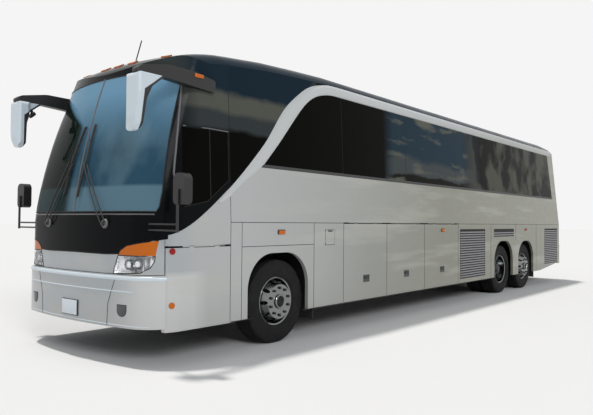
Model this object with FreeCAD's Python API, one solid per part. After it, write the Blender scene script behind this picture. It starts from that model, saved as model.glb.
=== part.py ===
import FreeCAD, Part
import math
import os

# Three-axle highway coach. +X points forward, +Y to the coach's left, +Z up.
# The origin is on the ground under the middle of the whole outline, mirrors included.
# Lengths are in millimetres. A station is a distance ahead of the front axle.

V = FreeCAD.Vector
os.makedirs("parts", exist_ok=True)

# Overall sizes
body_length = 13716
body_width = 2590
front_overhang = 2085
wheelbase = 7390
tag_spacing = 1390
mirror_lead = 85
skirt_z = 360
waist_z = 1490
belt_z = 2150
glass_top_z = 3270
cantrail_z = 3400
crown_rise = 200

# Clearances shared by all pieces
fit_gap = 0.3
pin_clearance = 0.05
door_gap = 6
overrun = 40
wall = 50
glass_thickness = 8

# Shape of the body in plan, front and side view
bumper_proud = 25
front_corner_radius = 400
rear_corner_radius = 300
nose_crown_low = 6500
nose_crown_high = 3200
nose_crown_span = 1550
nose_curve_z = 1350
nose_rake = 440
nose_rake_span = 1950
nose_rake_power = 1.6
tumblehome_rise = 1910
tumblehome = 86
tail_lean = 350
nose_heights = (waist_z, 1900, 2300, 2700, 3100, 3550)

# Roof
shoulder_width = 209
shoulder_rise = 145
shoulder_bulge = 32
roof_flare = 160
roof_drops = ((-11640, 262), (-11560, 230), (-11230, 110), (-10900, 35), (-10300, 0), (-1060, 0),
              (-450, 20),
              (180, 50), (730, 100), (880, 115))
brow_drops = ((880, 115), (1210, 170), (1400, 222), (1540, 290), (1660, 400), (1780, 600))
hatch_stations = (-2600, -8200)
hatch_length = 760
hatch_width = 620
hatch_curb = 34
hatch_lid_height = 46

# Seams of the lower side, as stations, front to rear
corner_seam = 1770
cap_seam = 880
wheel_panel_rear = -650
filler_rear = -1330
luggage_seams = (-1330, -2500, -3740, -5080)
louvre_panel_rear = -6660
drive_panel_rear = -8100
tag_panel_rear = -9500
side_rear = -11230
tail_block_front = -10600
flap_top_z = 1230
hinge_seam = 10
hinge_depth = 7
hinge_rod_radius = 4
hinge_knuckle_radius = 6.5
hinge_knuckle_length = 70
hinge_web = 5
hinge_end_share = 0.12
knuckle_shares = (0.2, 0.8)
knuckle_span_share = 0.15
skirt_rise = ((-9790, 360), (-11430, 320), (-11430, 512))
corner_top_z = 1900

# Filler flap on the left: front and rear station, bottom and top
filler_flap_outline = (-900, -1120, 1190, 1400)

# Wheel arches: centre station, width, height of the top
arch_front = (35, 1130, 1120)
arch_drive = (-7390, 1080, 1130)
arch_tag = (-8785, 1030, 1110)
arch_radius = 430

# Louvre openings: front and rear station, bottom and top
louvre_large = (-5160, -6360, 450, 1390)
louvre_small = (-6830, -7990, 1225, 1390)
louvre_rear = (-10140, -11180, 500, 1390)
louvre_pitch = 47
louvre_blade = 22
louvre_frame = 18
louvre_depth = 30

# Wheels
tyre_radius = 515
tyre_half_width = 150
tread_half_width = 132
bead_half_width = 112
rim_seat_radius = 286
wheel_centre_y = 1075
twin_spacing = 330
spindle_radius = 45
spindle_end = 140
backing_inset = 88
stud_circle = 167.5
stud_count = 10
stud_radius = 13
stud_radius_right = 12.5
stud_reach = 22
stud_root = 8
hand_hole_radius = 24
hand_hole_circle = 237
hand_hole_count = 10
single_profile = ((-60, 88), (165, 88), (165, 206), (60, 262), (60, 274), (-128, 274), (-128, 300),
                  (-118, 300), (-112, 286), (112, 286), (119, 300), (127, 300), (131, 294), (123, 279),
                  (78, 274), (190, 212), (190, 85), (200, 80), (200, 0), (150, 0))
twin_profile = ((-250, 110), (-177, 110), (-177, 205), (-265, 262), (-265, 274), (-458, 274), (-458, 300),
                (-448, 300), (-442, 286), (-218, 286), (-212, 300), (-202, 300), (-202, 274), (-240, 270),
                (-165, 212), (-90, 268), (-128, 274), (-128, 300), (-118, 300), (-112, 286), (112, 286),
                (119, 300), (127, 300), (131, 294), (123, 279), (-66, 274), (-153, 205), (-153, 110),
                (60, 110),
                (75, 95), (75, 0), (30, 0))
single_face = 190
twin_face = -153
tyre_wall_round = 90
tyre_shoulder_round = 32
twin_spindle_end = 20
twin_tube_end = 600
twin_sleeve_end = 820
twin_sleeve_radius = 70
tag_tube_end = 950

# Steering
kingpin_y = 820
kingpin_radius = 25
knuckle_eye_radius = 58
knuckle_eye_height = 150
yoke_thickness = 26
yoke_gap = 1
backing_radius = 150
backing_thickness = 14
beam_height = 110
beam_half_length = 718
yoke_length = 50
bellows_low = 545
differential_radius = 220
beam_width = 120
bellows_radius = 110
rail_y = 450
rail_width = 80
rail_low = 760
rail_high = 900
jack_station = -9250
jack_pad_length = 150
jack_pad_height = 16
axle_tube_radius = 80

# Floors and bulkheads
deck_z = 1440
deck_thickness = 40
bay_floor_z = 440
bay_floor_thickness = 40
bulkhead_thickness = 40
bulkhead_stations = (-740, -1330, -2500, -3740, -5080, -6600)
well_inner_y = 535
well_half_length = 730
well_top = 1180
sheet = 6
platform_z = 1000
platform_rear = 745
front_beam_station = 1770
step_count = 3
platform_front = 1790
platform_right_y = -380
step_z = 420
mudflap_station = -690
mudflap_bottom = 215

# Side glass
sweep_outer = ((880, 1880), (620, 2110), (380, 2335), (130, 2635), (-130, 2950), (-360, 3135),
               (-600, 3285), (-850, 3365), (-1060, 3400))
sweep_inner = ((500, 2150), (230, 2420), (-40, 2690), (-230, 2870), (-440, 3030), (-680, 3160),
               (-980, 3250), (-1160, 3270))
pane_seams = (-1350, -3160, -5040, -6260, -8020, -9500)
side_glass_rear = -10860
side_glass_rear_top = -10600
pane_gap = 6
pillar_width = 110
window_sill = 60

# Front
mask_side_z = 1500
mask_half = 1120
black_line = ((0, 1150), (580, 1144), (780, 1150), (812, 1192), (902, 1242), (1061, 1272),
              (1218, 1300), (1420, 1352))
black_curve = ((1740, 1352), (1550, 1420), (1340, 1540), (1130, 1690), (880, 1885))
bumper_bottom = 400
bumper_top = 940
band_gap = 6
lamp_outline = ((708, 946), (1074, 963), (1160, 1015), (1190, 1082), (1196, 1134), (780, 1137))
turn_outline = ((782, 1143), (1197, 1142), (1218, 1297), (1061, 1269), (902, 1239), (814, 1190))
lamp_depth = 48
screen_low = 1560
screen_top = 3150
screen_waist_z = 1800
screen_low_half = 1140
screen_waist_half = 1205
screen_top_half = 1100
screen_lip = 40
screen_divider = 8
screen_rounds = (60, 300, 120)
driver_window_round = 40
driver_window = ((905, 1960), (1230, 1715), (1590, 1640), (1540, 2510), (905, 2510))
door_front = 1660
door_rear = 905
door_top_z = 2900
door_low_z = 400
door_front_top = 1330
door_knee_z = 1450
door_knee_radius = 600
door_rounds = (40, 90)
door_frame = 55
door_glass_low_share = 0.12
low_front = 900
brow_end = 2200
brow_end_drop = 1200
marker_size = 70
marker_width = 110
marker_height = 14
roof_markers = ((1500, 0), (1495, 270), (1420, 790))
side_marker_front = 10
side_marker_red = -8790
side_marker_z = 1370
side_marker_length = 110
side_marker_height = 24

# Holes for the number plates
plate_hole_y = 89
plate_hole_radius = 3.5
front_plate_z = 544
rear_plate_z = 700

# Rear
rear_bumper_top = 960
rear_bumper_low = 470
lid_half_width = 860
lid_low_z = 990
lid_high_z = 1900
rear_window_low = 2160
rear_window_high = 3080
rear_window_half = 960
tail_lamp_low = 1010
tail_lamp_high = 1460
tail_lamp_inner = 960
tail_lamp_outer = 1180

# Mirrors, as stations and places off the middle
mirror_arm_side = ((1110, 2912, 50), (1780, 2960, 60), (2158, 2960, 5), (2158, 2995, 25), (2085, 3042, 80),
                   (1760, 3102, 300), (1400, 3095, 300), (1110, 3045, 50))
mirror_arm_plan = ((1110, 1140, 0), (1500, 1180, 300), (2158, 1180, 30), (2158, 1275, 30), (1110, 1275, 25))
mirror_head_side = ((1838, 2960, 10), (2010, 2830, 80), (2062, 2700, 150), (2070, 2440, 40),
                    (2105, 2384, 25),
                    (2155, 2384, 25), (2170, 2520, 200), (2170, 2960, 45))
mirror_head_front = ((1092, 2960, 40), (1092, 2450, 60), (1120, 2384, 30), (1205, 2384, 50),
                     (1262, 2470, 150),
                     (1318, 2780, 200), (1318, 2960, 20))
mirror_head_plan = ((2170, 1092, 45), (2170, 1318, 45), (1990, 1318, 60), (1838, 1296, 12),
                    (1838, 1168, 12),
                    (1985, 1168, 40), (2040, 1092, 30))
kerb_mirror_station = 1940
kerb_mirror_y = 1222
kerb_mirror_z = 2832
kerb_mirror_radius = 45
kerb_mirror_depth = 30
kerb_mirror_stem = 9
kerb_mirror_root_z = 2910
corner_mirror_post = (1890, 1585, 1400)
corner_mirror_top = 1810
corner_mirror_tube = 14
corner_mirror_rod = 10
corner_mirror_arms = (1405, 1465)
corner_mirror_low = 1660
corner_mirror_high = 1970
corner_mirror_inner = 1500
corner_mirror_outer = 1670
corner_mirror_front = 1865
corner_mirror_depth = 90
corner_mirror_rounds = (50, 70)

# Wipers
wiper_pivot = (577, 1466)
wiper_boss_radius = 26
wiper_boss_length = 60
wiper_arm_width = 24
wiper_arm_depth = 14
wiper_standoff = 45
wiper_blade_low = 1750
wiper_blade_high = 2590
wiper_blade_y = 95
wiper_joint_z = 2150
wiper_blade_width = 16

# Aerial
aerial_station = 1280
aerial_low_z = 3380
aerial_high_z = 3720
aerial_lean = 100
aerial_radius = 7

# Cab
wheel_hub_station = 1220
wheel_hub_y = 620
wheel_hub_z = 1790
steering_tilt = 25
steering_ring_radius = 225
steering_tube = 16
steering_spoke = 12
spoke_angles = (90, 210, 330)
steering_hub_radius = 45
steering_hub_height = 46
shaft_radius = 14
column_radius = 34
dash_rear = 1440
dash_low = 1270
dash_high = 1480
dash_right = -520
binnacle_high = 1640
binnacle_half = 330
binnacle_depth = 330
binnacle_round = 40

# Seats
seat_rows = 14
seat_front_station = 60
seat_pitch = 800
driver_seat_station = 815
seat_width = 465
seat_pair_gap = 30
aisle_half = 205
seat_depth = 470
cushion_low = 330
cushion_high = 450
back_height = 1130
back_thickness = 110
back_lean = 170
seat_round = 45
pedestal = 90

# Engine
engine_front = -9750
engine_rear = -11230
engine_half = 440
engine_low = 600
engine_high = 1385

# Places that follow from the sizes above
half_width = body_width / 2
whole_length = body_length + mirror_lead
tail_x = -whole_length / 2
front_axle_x = tail_x + body_length - front_overhang
drive_axle_x = front_axle_x - wheelbase
tag_axle_x = drive_axle_x - tag_spacing
nose_x = front_axle_x + front_overhang - bumper_proud
tail_body_x = tail_x + bumper_proud
axle_z = tyre_radius


def at(station):
    """The x of a station, which counts forward from the front axle."""
    return front_axle_x + station


def box(x0, x1, y0, y1, z0, z1):
    """A box between two corners."""
    low = V(min(x0, x1), min(y0, y1), min(z0, z1))
    return Part.makeBox(abs(x1 - x0), abs(y1 - y0), abs(z1 - z0), low)


def rounded_wire(corners, place):
    """A closed wire through corners (a, b, radius); place makes a point of (a, b)."""
    runs = []
    for i, (a, b, radius) in enumerate(corners):
        here = V(a, b, 0)
        if radius == 0:
            runs.append((here, None, here))
            continue
        before = corners[i - 1]
        after = corners[(i + 1) % len(corners)]
        back = (V(before[0], before[1], 0) - here).normalize()
        ahead = (V(after[0], after[1], 0) - here).normalize()
        half = back.getAngle(ahead) / 2
        trim = radius / math.tan(half)
        inward = (back + ahead).normalize()
        centre = here + inward * (radius / math.sin(half))
        runs.append((here + back * trim, centre - inward * radius, here + ahead * trim))
    edges = []
    for i, (start, middle, end) in enumerate(runs):
        if middle is not None:
            points = [place(p.x, p.y) for p in (start, middle, end)]
            edges.append(Part.Arc(*points).toShape())
        follow = runs[(i + 1) % len(runs)][0]
        if end.distanceToPoint(follow) > 0:
            edges.append(Part.LineSegment(place(end.x, end.y), place(follow.x, follow.y)).toShape())
    return Part.Wire(edges)


def sharp(points):
    """Corner list with no rounding."""
    return [(a, b, 0) for a, b in points]


def side_prism(corners, y0, y1):
    """An outline of (x, z) corners, run from y0 to y1."""
    wire = rounded_wire(corners, lambda x, z: V(x, y0, z))
    return Part.Face(wire).extrude(V(0, y1 - y0, 0))


def front_prism(corners, x0, x1):
    """An outline of (y, z) corners, run from x0 to x1."""
    wire = rounded_wire(corners, lambda y, z: V(x0, y, z))
    return Part.Face(wire).extrude(V(x1 - x0, 0, 0))


def plan_prism(corners, z0, z1):
    """An outline of (x, y) corners, run from z0 to z1."""
    wire = rounded_wire(corners, lambda x, y: V(x, y, z0))
    return Part.Face(wire).extrude(V(0, 0, z1 - z0))


def bar(start, end, radius):
    """A round bar between two points."""
    run = end - start
    return Part.makeCylinder(radius, run.Length, start, run)


def plate_holes(x, z):
    """Two level holes for a number plate through a bumper near x."""
    reach = V(2 * wall + bumper_proud, 0, 0)
    holes = []
    for side in (1, -1):
        middle = V(x, side * plate_hole_y, z)
        holes.append(bar(middle - reach, middle + reach, plate_hole_radius))
    return Part.makeCompound(holes)


def mirrored(shape):
    """The same shape on the other side of the coach."""
    return shape.mirror(V(0, 0, 0), V(0, 1, 0))


def fuse(shapes):
    """One solid from shapes that meet."""
    first = shapes[0]
    if len(shapes) == 1:
        return first
    return first.fuse(shapes[1:]).removeSplitter()


def save(name, shapes):
    """Write the solids of one node."""
    solids = []
    for shape in shapes:
        solids.extend(shape.Solids)
    Part.makeCompound(solids).exportStep("parts/" + name + ".step")


# Outer skin of the body

def half_at(height):
    """Half the body's width at a height: straight to the waist, then leaning in."""
    return half_width - tumblehome * max(0, height - waist_z) / tumblehome_rise


def nose_at(height):
    """The foremost x of the body at a height."""
    rise = max(0, height - nose_curve_z)
    return nose_x - nose_rake * (rise / nose_rake_span) ** nose_rake_power


def crown_radius_at(height):
    """Radius of the front's curve in plan at a height."""
    share = min(1, max(0, height - nose_curve_z) / nose_crown_span)
    return nose_crown_low - (nose_crown_low - nose_crown_high) * share


def tail_at(height):
    """The rearmost x of the body at a height."""
    return tail_body_x + tail_lean * max(0, height - waist_z) / tumblehome_rise


def nose_wire(height, inset, back_x, plan_height):
    """Plan outline of the front of the body, set in by a thickness."""
    half = half_at(plan_height) - inset
    crown = crown_radius_at(plan_height) - inset
    corner = front_corner_radius - inset
    centre = nose_at(plan_height) - inset - crown
    corner_y = half - corner
    corner_x = centre + math.sqrt((crown - corner) ** 2 - corner_y ** 2)
    turn = math.atan2(corner_y, corner_x - centre)
    lean = (turn + math.pi / 2) / 2

    def on_crown(angle, side):
        return V(centre + crown * math.cos(angle), side * crown * math.sin(angle), height)

    def on_corner(angle, side):
        return V(corner_x + corner * math.cos(angle), side * (corner_y + corner * math.sin(angle)), height)

    left = V(back_x, half, height)
    right = V(back_x, -half, height)
    shoulder_left = V(corner_x, half, height)
    shoulder_right = V(corner_x, -half, height)
    edges = [
        Part.LineSegment(left, shoulder_left).toShape(),
        Part.Arc(shoulder_left, on_corner(lean, 1), on_crown(turn, 1)).toShape(),
        Part.Arc(on_crown(turn, 1), on_crown(0, 1), on_crown(turn, -1)).toShape(),
        Part.Arc(on_crown(turn, -1), on_corner(lean, -1), shoulder_right).toShape(),
        Part.LineSegment(shoulder_right, right).toShape(),
        Part.LineSegment(right, left).toShape(),
    ]
    return Part.Wire(edges)


def nose_low(inset, z0, z1, back_station):
    """Upright lower front of the body."""
    wire = nose_wire(z0, inset, at(back_station), waist_z)
    return Part.Face(wire).extrude(V(0, 0, z1 - z0))


def nose_high(inset, back_station):
    """Raked upper front of the body, above the waist."""
    wires = [nose_wire(height, inset, at(back_station), height) for height in nose_heights]
    return Part.makeLoft(wires, True, False)


def nose_whole(inset, z0, back_station):
    """Whole front of the body, from z0 up."""
    return nose_low(inset, z0, waist_z, back_station).fuse(nose_high(inset, back_station))


def tail_wire(height, inset, front_x, plan_height):
    """Plan outline of the rear of the body."""
    half = half_at(plan_height) - inset
    back = tail_at(plan_height) + inset
    corner = rear_corner_radius - inset
    corners = [(front_x, -half, 0), (front_x, half, 0), (back, half, corner), (back, -half, corner)]
    return rounded_wire(corners, lambda x, y: V(x, y, height))


def tail_low(inset, z0, z1, front_station):
    """Upright lower rear of the body."""
    return Part.Face(tail_wire(z0, inset, at(front_station), waist_z)).extrude(V(0, 0, z1 - z0))


def tail_high(inset, front_station, top):
    """Upper rear of the body, leaning forward."""
    wires = [tail_wire(height, inset, at(front_station), height) for height in (waist_z, top)]
    return Part.makeLoft(wires, True, True)


def crown_wire(station, drop, inset, base_z, flare):
    """Cross-section of the body's top, lowered by a drop."""
    eaves = cantrail_z - drop
    half = half_at(eaves) - inset
    shoulder_y = half_at(eaves) - shoulder_width - inset / 2
    shoulder_z = eaves + shoulder_rise - inset
    top = eaves + crown_rise - inset
    chord = V(0, half - shoulder_y, eaves - shoulder_z)
    middle = V(0, (half + shoulder_y) / 2, (eaves + shoulder_z) / 2)
    bulge = V(0, -chord.z, chord.y).normalize() * shoulder_bulge
    x = at(station)

    def point(y, z):
        return V(x, y, z)

    low = middle + bulge
    edges = [
        Part.LineSegment(point(-half - flare, base_z), point(half + flare, base_z)).toShape(),
        Part.LineSegment(point(half + flare, base_z), point(half, eaves)).toShape(),
        Part.Arc(point(half, eaves), point(low.y, low.z), point(shoulder_y, shoulder_z)).toShape(),
        Part.Arc(point(shoulder_y, shoulder_z), point(0, top), point(-shoulder_y, shoulder_z)).toShape(),
        Part.Arc(point(-shoulder_y, shoulder_z), point(-low.y, low.z), point(-half, eaves)).toShape(),
        Part.LineSegment(point(-half, eaves), point(-half - flare, base_z)).toShape(),
    ]
    return Part.Wire(edges)


def crown_block(drops, inset, base_z, flare, ruled):
    """Everything under the roof's crown between the stations of the drops."""
    wires = [crown_wire(station, drop, inset, base_z, flare) for station, drop in drops]
    return Part.makeLoft(wires, True, ruled)


def ahead_of_tail(gap):
    """Room ahead of the slanted rear edge of the sides, which a gap moves forward."""
    top = cantrail_z + crown_rise + overrun
    lean = tail_lean * (top - waist_z) / tumblehome_rise
    x = at(side_rear) + gap
    outline = [(x, skirt_z - overrun), (x, waist_z), (x + lean, top), (at(cap_seam) + overrun, top),
               (at(cap_seam) + overrun, skirt_z - overrun)]
    return side_prism(sharp(outline), -body_width, body_width)


def eaves_points(gap):
    """Line of the eaves between the front seam and the side's rear edge."""
    points = []
    for station, drop in roof_drops:
        if side_rear <= station <= cap_seam:
            points.append((at(station), cantrail_z - drop - gap))
    return points


# Hinges of flaps and doors: a fixed rod on webs, and knuckles that turn on it

def hinge_frame(start, end):
    """Placement that lays a hinge built along X on the line from start to end."""
    turn = FreeCAD.Rotation(V(1, 0, 0), end - start)
    return FreeCAD.Placement(start, turn)


def knuckle_places(length):
    """Middles of the knuckles along a hinge."""
    return [length * share for share in knuckle_shares]


def knuckle_half(length):
    """Half a knuckle's length: shorter on a short hinge."""
    return min(hinge_knuckle_length, length * knuckle_span_share) / 2


def hinge_rail(start, end):
    """Fixed rod with webs that reach up to the panel above, open where the knuckles turn."""
    length = (end - start).Length
    rod = bar(V(0, 0, 0), V(length, 0, 0), hinge_rod_radius)
    web = box(0, length, -hinge_web / 2, hinge_web / 2, 0, hinge_seam + wall / 2)
    reach = knuckle_half(length) + door_gap
    for middle in knuckle_places(length):
        web = web.cut(box(middle - reach, middle + reach, -wall, wall, -wall, hinge_seam))
    rail = rod.fuse(web)
    rail.Placement = hinge_frame(start, end)
    return rail


def hung_flap(panel, start, end):
    """A flap with knuckles on its upper edge, bored for the rod."""
    length = (end - start).Length
    knuckles = []
    for middle in knuckle_places(length):
        low = middle - knuckle_half(length)
        high = middle + knuckle_half(length)
        knuckles.append(bar(V(low, 0, 0), V(high, 0, 0), hinge_knuckle_radius))
        knuckles.append(box(low, high, -hinge_web, hinge_web, -hinge_seam - wall / 2, 0))
    bore = bar(V(0, 0, 0), V(length, 0, 0), hinge_rod_radius + pin_clearance)
    shape = fuse(knuckles).cut(bore)
    shape.Placement = hinge_frame(start, end)
    return fuse([panel, shape])


def side_hinge(front, rear, side, seam_z):
    """Ends of the hinge line in a side seam, rear end first."""
    length = front - rear
    y = side * (half_width - hinge_depth)
    return (V(at(rear + length * hinge_end_share), y, seam_z),
            V(at(front - length * hinge_end_share), y, seam_z))


# Side walls

def side_slab(side, inset, depth):
    """A slab that follows the leaning upper side, from one inset to a depth behind it."""
    low = waist_z
    high = cantrail_z + overrun
    points = [(half_at(low) - inset, low), (half_at(high) - inset, high),
              (half_at(high) - depth, high), (half_at(low) - depth, low)]
    corners = [(side * y, z, 0) for y, z in points]
    return front_prism(corners, at(side_rear), at(cap_seam))


def curve_through(points):
    """A smooth edge through points."""
    curve = Part.BSplineCurve()
    curve.interpolate(points)
    return curve.toShape()


def glass_region(y0, y1):
    """Everything dark above the belt, in front of the sweep as well as behind it."""
    rear_low = V(at(side_glass_rear), y0, belt_z)
    rear_high = V(at(side_glass_rear_top), y0, glass_top_z)
    inner = [V(at(x), y0, z) for x, z in sweep_inner]
    edges = [
        Part.LineSegment(rear_low, inner[0]).toShape(),
        curve_through(inner),
        Part.LineSegment(inner[-1], rear_high).toShape(),
        Part.LineSegment(rear_high, rear_low).toShape(),
    ]
    return Part.Face(Part.Wire(edges)).extrude(V(0, y1 - y0, 0))


def quarter_region(y0, y1):
    """Dark panel in front of the sweep, up to the eaves."""
    outer = [V(at(x), y0, z) for x, z in sweep_outer]
    top = [V(x, y0, z) for x, z in eaves_points(0) if x > outer[-1].x]
    line = [outer[-1]] + top + [outer[0]]
    edges = [curve_through(outer)]
    for a, b in zip(line, line[1:]):
        edges.append(Part.LineSegment(a, b).toShape())
    return Part.Face(Part.Wire(edges)).extrude(V(0, y1 - y0, 0))


def sweep_region(y0, y1):
    """The band between the sweep's two curves."""
    outer = [V(at(x), y0, z) for x, z in sweep_outer]
    inner = [V(at(x), y0, z) for x, z in sweep_inner]
    edges = [
        curve_through(outer),
        Part.LineSegment(outer[-1], inner[-1]).toShape(),
        curve_through(inner),
        Part.LineSegment(inner[0], outer[0]).toShape(),
    ]
    return Part.Face(Part.Wire(edges)).extrude(V(0, y1 - y0, 0))


def window_stations():
    """Front and rear station of each window opening along the side."""
    edges = [sweep_inner[0][0]] + list(pane_seams) + [side_glass_rear]
    return list(zip(edges, edges[1:]))


def side_wall(side):
    """Upper wall from the waist to the eaves, its windows cut and rebated for the panes."""
    wall_slab = side_slab(side, 0, wall)
    outline = [(at(side_rear), waist_z + hinge_seam), (at(cap_seam), waist_z + hinge_seam)]
    outline += list(reversed(eaves_points(fit_gap)))
    y_far = side * (half_width + overrun)
    body = wall_slab.common(side_prism(sharp(outline), 0, y_far)).common(ahead_of_tail(0))
    rebate = side_slab(side, -overrun, glass_thickness + fit_gap)
    for region in (glass_region(0, y_far), quarter_region(0, y_far), sweep_region(0, y_far)):
        body = body.cut(rebate.common(region))
    windows = glass_region(0, y_far)
    for front, rear in window_stations():
        low = belt_z + window_sill
        high = glass_top_z - window_sill
        opening = box(at(rear) + pillar_width / 2, at(front) - pillar_width / 2, 0, y_far, low, high)
        shrunk = windows.common(opening)
        if front == sweep_inner[0][0]:
            shrunk = shrunk.common(windows.translated(V(-pillar_width, 0, 0)))
        body = body.cut(shrunk)
    rails = []
    for front, rear in zip(luggage_seams, luggage_seams[1:]):
        rails.append(hinge_rail(*side_hinge(front, rear, side, waist_z)))
    return fuse([body] + rails)


def side_panes(side):
    """Bonded panes of one side, and the dark panel in front of the sweep."""
    y_far = side * (half_width + overrun)
    slab = side_slab(side, 0, glass_thickness)
    band = slab.common(glass_region(0, y_far))
    panes = []
    for front, rear in window_stations():
        x0 = at(rear) + pane_gap / 2
        x1 = at(front) - pane_gap / 2
        if front == sweep_inner[0][0]:
            x1 = at(front)
        panes.append(band.common(box(x0, x1, 0, y_far, waist_z, cantrail_z)))
    panes.append(slab.common(quarter_region(0, y_far)))
    return panes


# Lower side panels

def arch_cut(arch, y0, y1):
    """Wheel-arch opening with a flattened round top."""
    centre, width, top = arch
    low = skirt_z - overrun
    half = width / 2
    x = at(centre)
    corners = [(x - half, low, 0), (x + half, low, 0), (x + half, top, arch_radius),
               (x - half, top, arch_radius)]
    return side_prism(corners, y0, y1)


def side_panel(side, front, rear, z0, z1):
    """A flat panel of the lower side."""
    outer = side * half_width
    inner = side * (half_width - wall)
    return box(at(front), at(rear), inner, outer, z0, z1)


def louvre_opening(louvre, y0, y1):
    """Opening that a louvre pack fills."""
    front, rear, low, high = louvre
    return box(at(front), at(rear), y0, y1, low, high)


def fixed_panels(side):
    """Fixed panels below the waist on one side."""
    top = waist_z + hinge_seam - fit_gap
    y0 = side * (half_width - 2 * wall)
    y1 = side * (half_width + overrun)
    wheel_panel = side_panel(side, cap_seam - door_gap / 2, wheel_panel_rear + fit_gap, skirt_z, top)
    wheel_panel = wheel_panel.cut(arch_cut(arch_front, y0, y1))
    filler_panel = side_panel(side, wheel_panel_rear, filler_rear + door_gap / 2, skirt_z, top)
    louvre_panel = side_panel(side, luggage_seams[-1] - door_gap / 2, louvre_panel_rear + fit_gap, skirt_z,
                              top)
    louvre_panel = louvre_panel.cut(louvre_opening(louvre_large, y0, y1))
    drive_panel = side_panel(side, louvre_panel_rear, drive_panel_rear + fit_gap, skirt_z, top)
    drive_panel = drive_panel.cut(arch_cut(arch_drive, y0, y1)).cut(louvre_opening(louvre_small, y0, y1))
    tag_panel = side_panel(side, drive_panel_rear, tag_panel_rear + fit_gap, skirt_z, top)
    tag_panel = tag_panel.cut(arch_cut(arch_tag, y0, y1))
    quarter = side_panel(side, tag_panel_rear, side_rear + fit_gap, skirt_z, top)
    quarter = quarter.cut(louvre_opening(louvre_rear, y0, y1))
    rise = [(at(station), z) for station, z in skirt_rise]
    quarter = quarter.cut(side_prism(sharp(rise), y0, y1)).common(ahead_of_tail(fit_gap))
    return [wheel_panel, filler_panel, louvre_panel, drive_panel, tag_panel, quarter]


def filler_hinge():
    """Upright hinge line ahead of the filler flap, top end first."""
    front, rear, low, high = filler_flap_outline
    inset = (high - low) * hinge_end_share
    y = half_width - hinge_depth
    return V(at(front), y, high - inset), V(at(front), y, low + inset)


def filler_opening():
    """Opening of the filler flap in its panel."""
    front, rear, low, high = filler_flap_outline
    return box(at(front) + hinge_seam, at(rear), half_width - 2 * wall, half_width + overrun, low, high)


def filler_flap():
    """Filler flap, hung on its front edge."""
    front, rear, low, high = filler_flap_outline
    panel = box(at(front) - hinge_seam, at(rear) + door_gap, half_width - wall, half_width,
                low + door_gap, high - door_gap)
    return hung_flap(panel, *filler_hinge())


def luggage_door(side, front, rear):
    """Top-hung luggage door."""
    x0 = at(rear) + door_gap / 2
    x1 = at(front) - door_gap / 2
    top = waist_z - hinge_seam
    panel = box(x0, x1, side * (half_width - wall), side * half_width, skirt_z, top)
    return hung_flap(panel, *side_hinge(front, rear, side, waist_z))


def louvre_pack(louvre, side):
    """Frame with level blades between its uprights."""
    front, rear, low, high = louvre
    x0 = at(rear) + fit_gap
    x1 = at(front) - fit_gap
    z0 = low + fit_gap
    z1 = high - fit_gap
    outer = side * (half_width - fit_gap)
    inner = side * (half_width - louvre_depth)
    frame = box(x0, x1, inner, outer, z0, z1)
    frame = frame.cut(box(x0 + louvre_frame, x1 - louvre_frame, inner - side * wall, outer + side * wall,
                          z0 + louvre_frame, z1 - louvre_frame))
    count = int((high - low) / louvre_pitch)
    pitch = (high - low) / count
    blades = []
    for i in range(1, count):
        z = low + pitch * i
        corners = [(outer, z - louvre_blade), (outer, z - louvre_blade / 2),
                   (inner, z + louvre_blade), (inner, z + louvre_blade / 2)]
        blades.append(front_prism(sharp(corners), x0 + louvre_frame / 2, x1 - louvre_frame / 2))
    return fuse([frame] + blades)


# Front of the body

def black_side_region():
    """Everything above the black curve of the front corners."""
    reach = at(front_overhang) + overrun
    top = cantrail_z + crown_rise + overrun
    curve = [V(at(x), -body_width, z) for x, z in black_curve]
    low_front = V(at(corner_seam), -body_width, bumper_bottom)
    points = [curve[0], low_front, V(reach, -body_width, bumper_bottom), V(reach, -body_width, top),
              V(at(cap_seam), -body_width, top), curve[-1]]
    edges = [curve_through(curve)]
    for a, b in zip(points, points[1:]):
        edges.append(Part.LineSegment(a, b).toShape())
    return Part.Face(Part.Wire(edges)).extrude(V(0, 2 * body_width, 0))


def black_front_region():
    """Everything above the lower edge of the black front."""
    line = [(-y, z) for y, z in reversed(black_line)] + list(black_line[1:])
    top = cantrail_z + crown_rise + overrun
    outline = line + [(black_line[-1][0], top), (-black_line[-1][0], top)]
    return front_prism(sharp(outline), at(cap_seam) - overrun, at(front_overhang) + overrun)


def screen_corners(inset, half_gap):
    """Outline of one half of the windscreen, left of the divider."""
    low, waist, top = screen_rounds
    return [(half_gap, screen_low + inset, 0), (screen_low_half - inset, screen_low + inset, low),
            (screen_waist_half - inset, screen_waist_z, waist),
            (screen_top_half - inset, screen_top - inset, top),
            (half_gap, screen_top - inset, 0)]


def screen_prism(inset, half_gap):
    """One half of the windscreen's outline, run through the front."""
    return front_prism(screen_corners(inset, half_gap), at(cap_seam) + wall, at(front_overhang) + overrun)


def both(shape):
    """A shape and its mirror image."""
    return [shape, mirrored(shape)]


def driver_window_prism(inset):
    """Outline of the driver's window, run through the left side."""
    cx = sum(x for x, z in driver_window) / len(driver_window)
    cz = sum(z for x, z in driver_window) / len(driver_window)
    corners = []
    for x, z in driver_window:
        reach = math.hypot(x - cx, z - cz)
        keep = (reach - inset) / reach
        corners.append((at(cx + (x - cx) * keep), cz + (z - cz) * keep, driver_window_round))
    return side_prism(corners, 0, half_width + overrun)


def door_corners(gap):
    """Outline of the entrance door in side view."""
    low, top = door_rounds
    rear = at(door_rear) + gap
    front = at(door_front) - gap
    return [(rear, door_low_z + gap, low), (front, door_low_z + gap, low),
            (front, door_knee_z, door_knee_radius),
            (at(door_front_top) - gap, door_top_z - gap, top), (rear, door_top_z - gap, top)]


def door_prism(gap):
    """Outline of the entrance door, run through the right side."""
    return side_prism(door_corners(gap), -(half_width + overrun), -half_width / 2)


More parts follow.
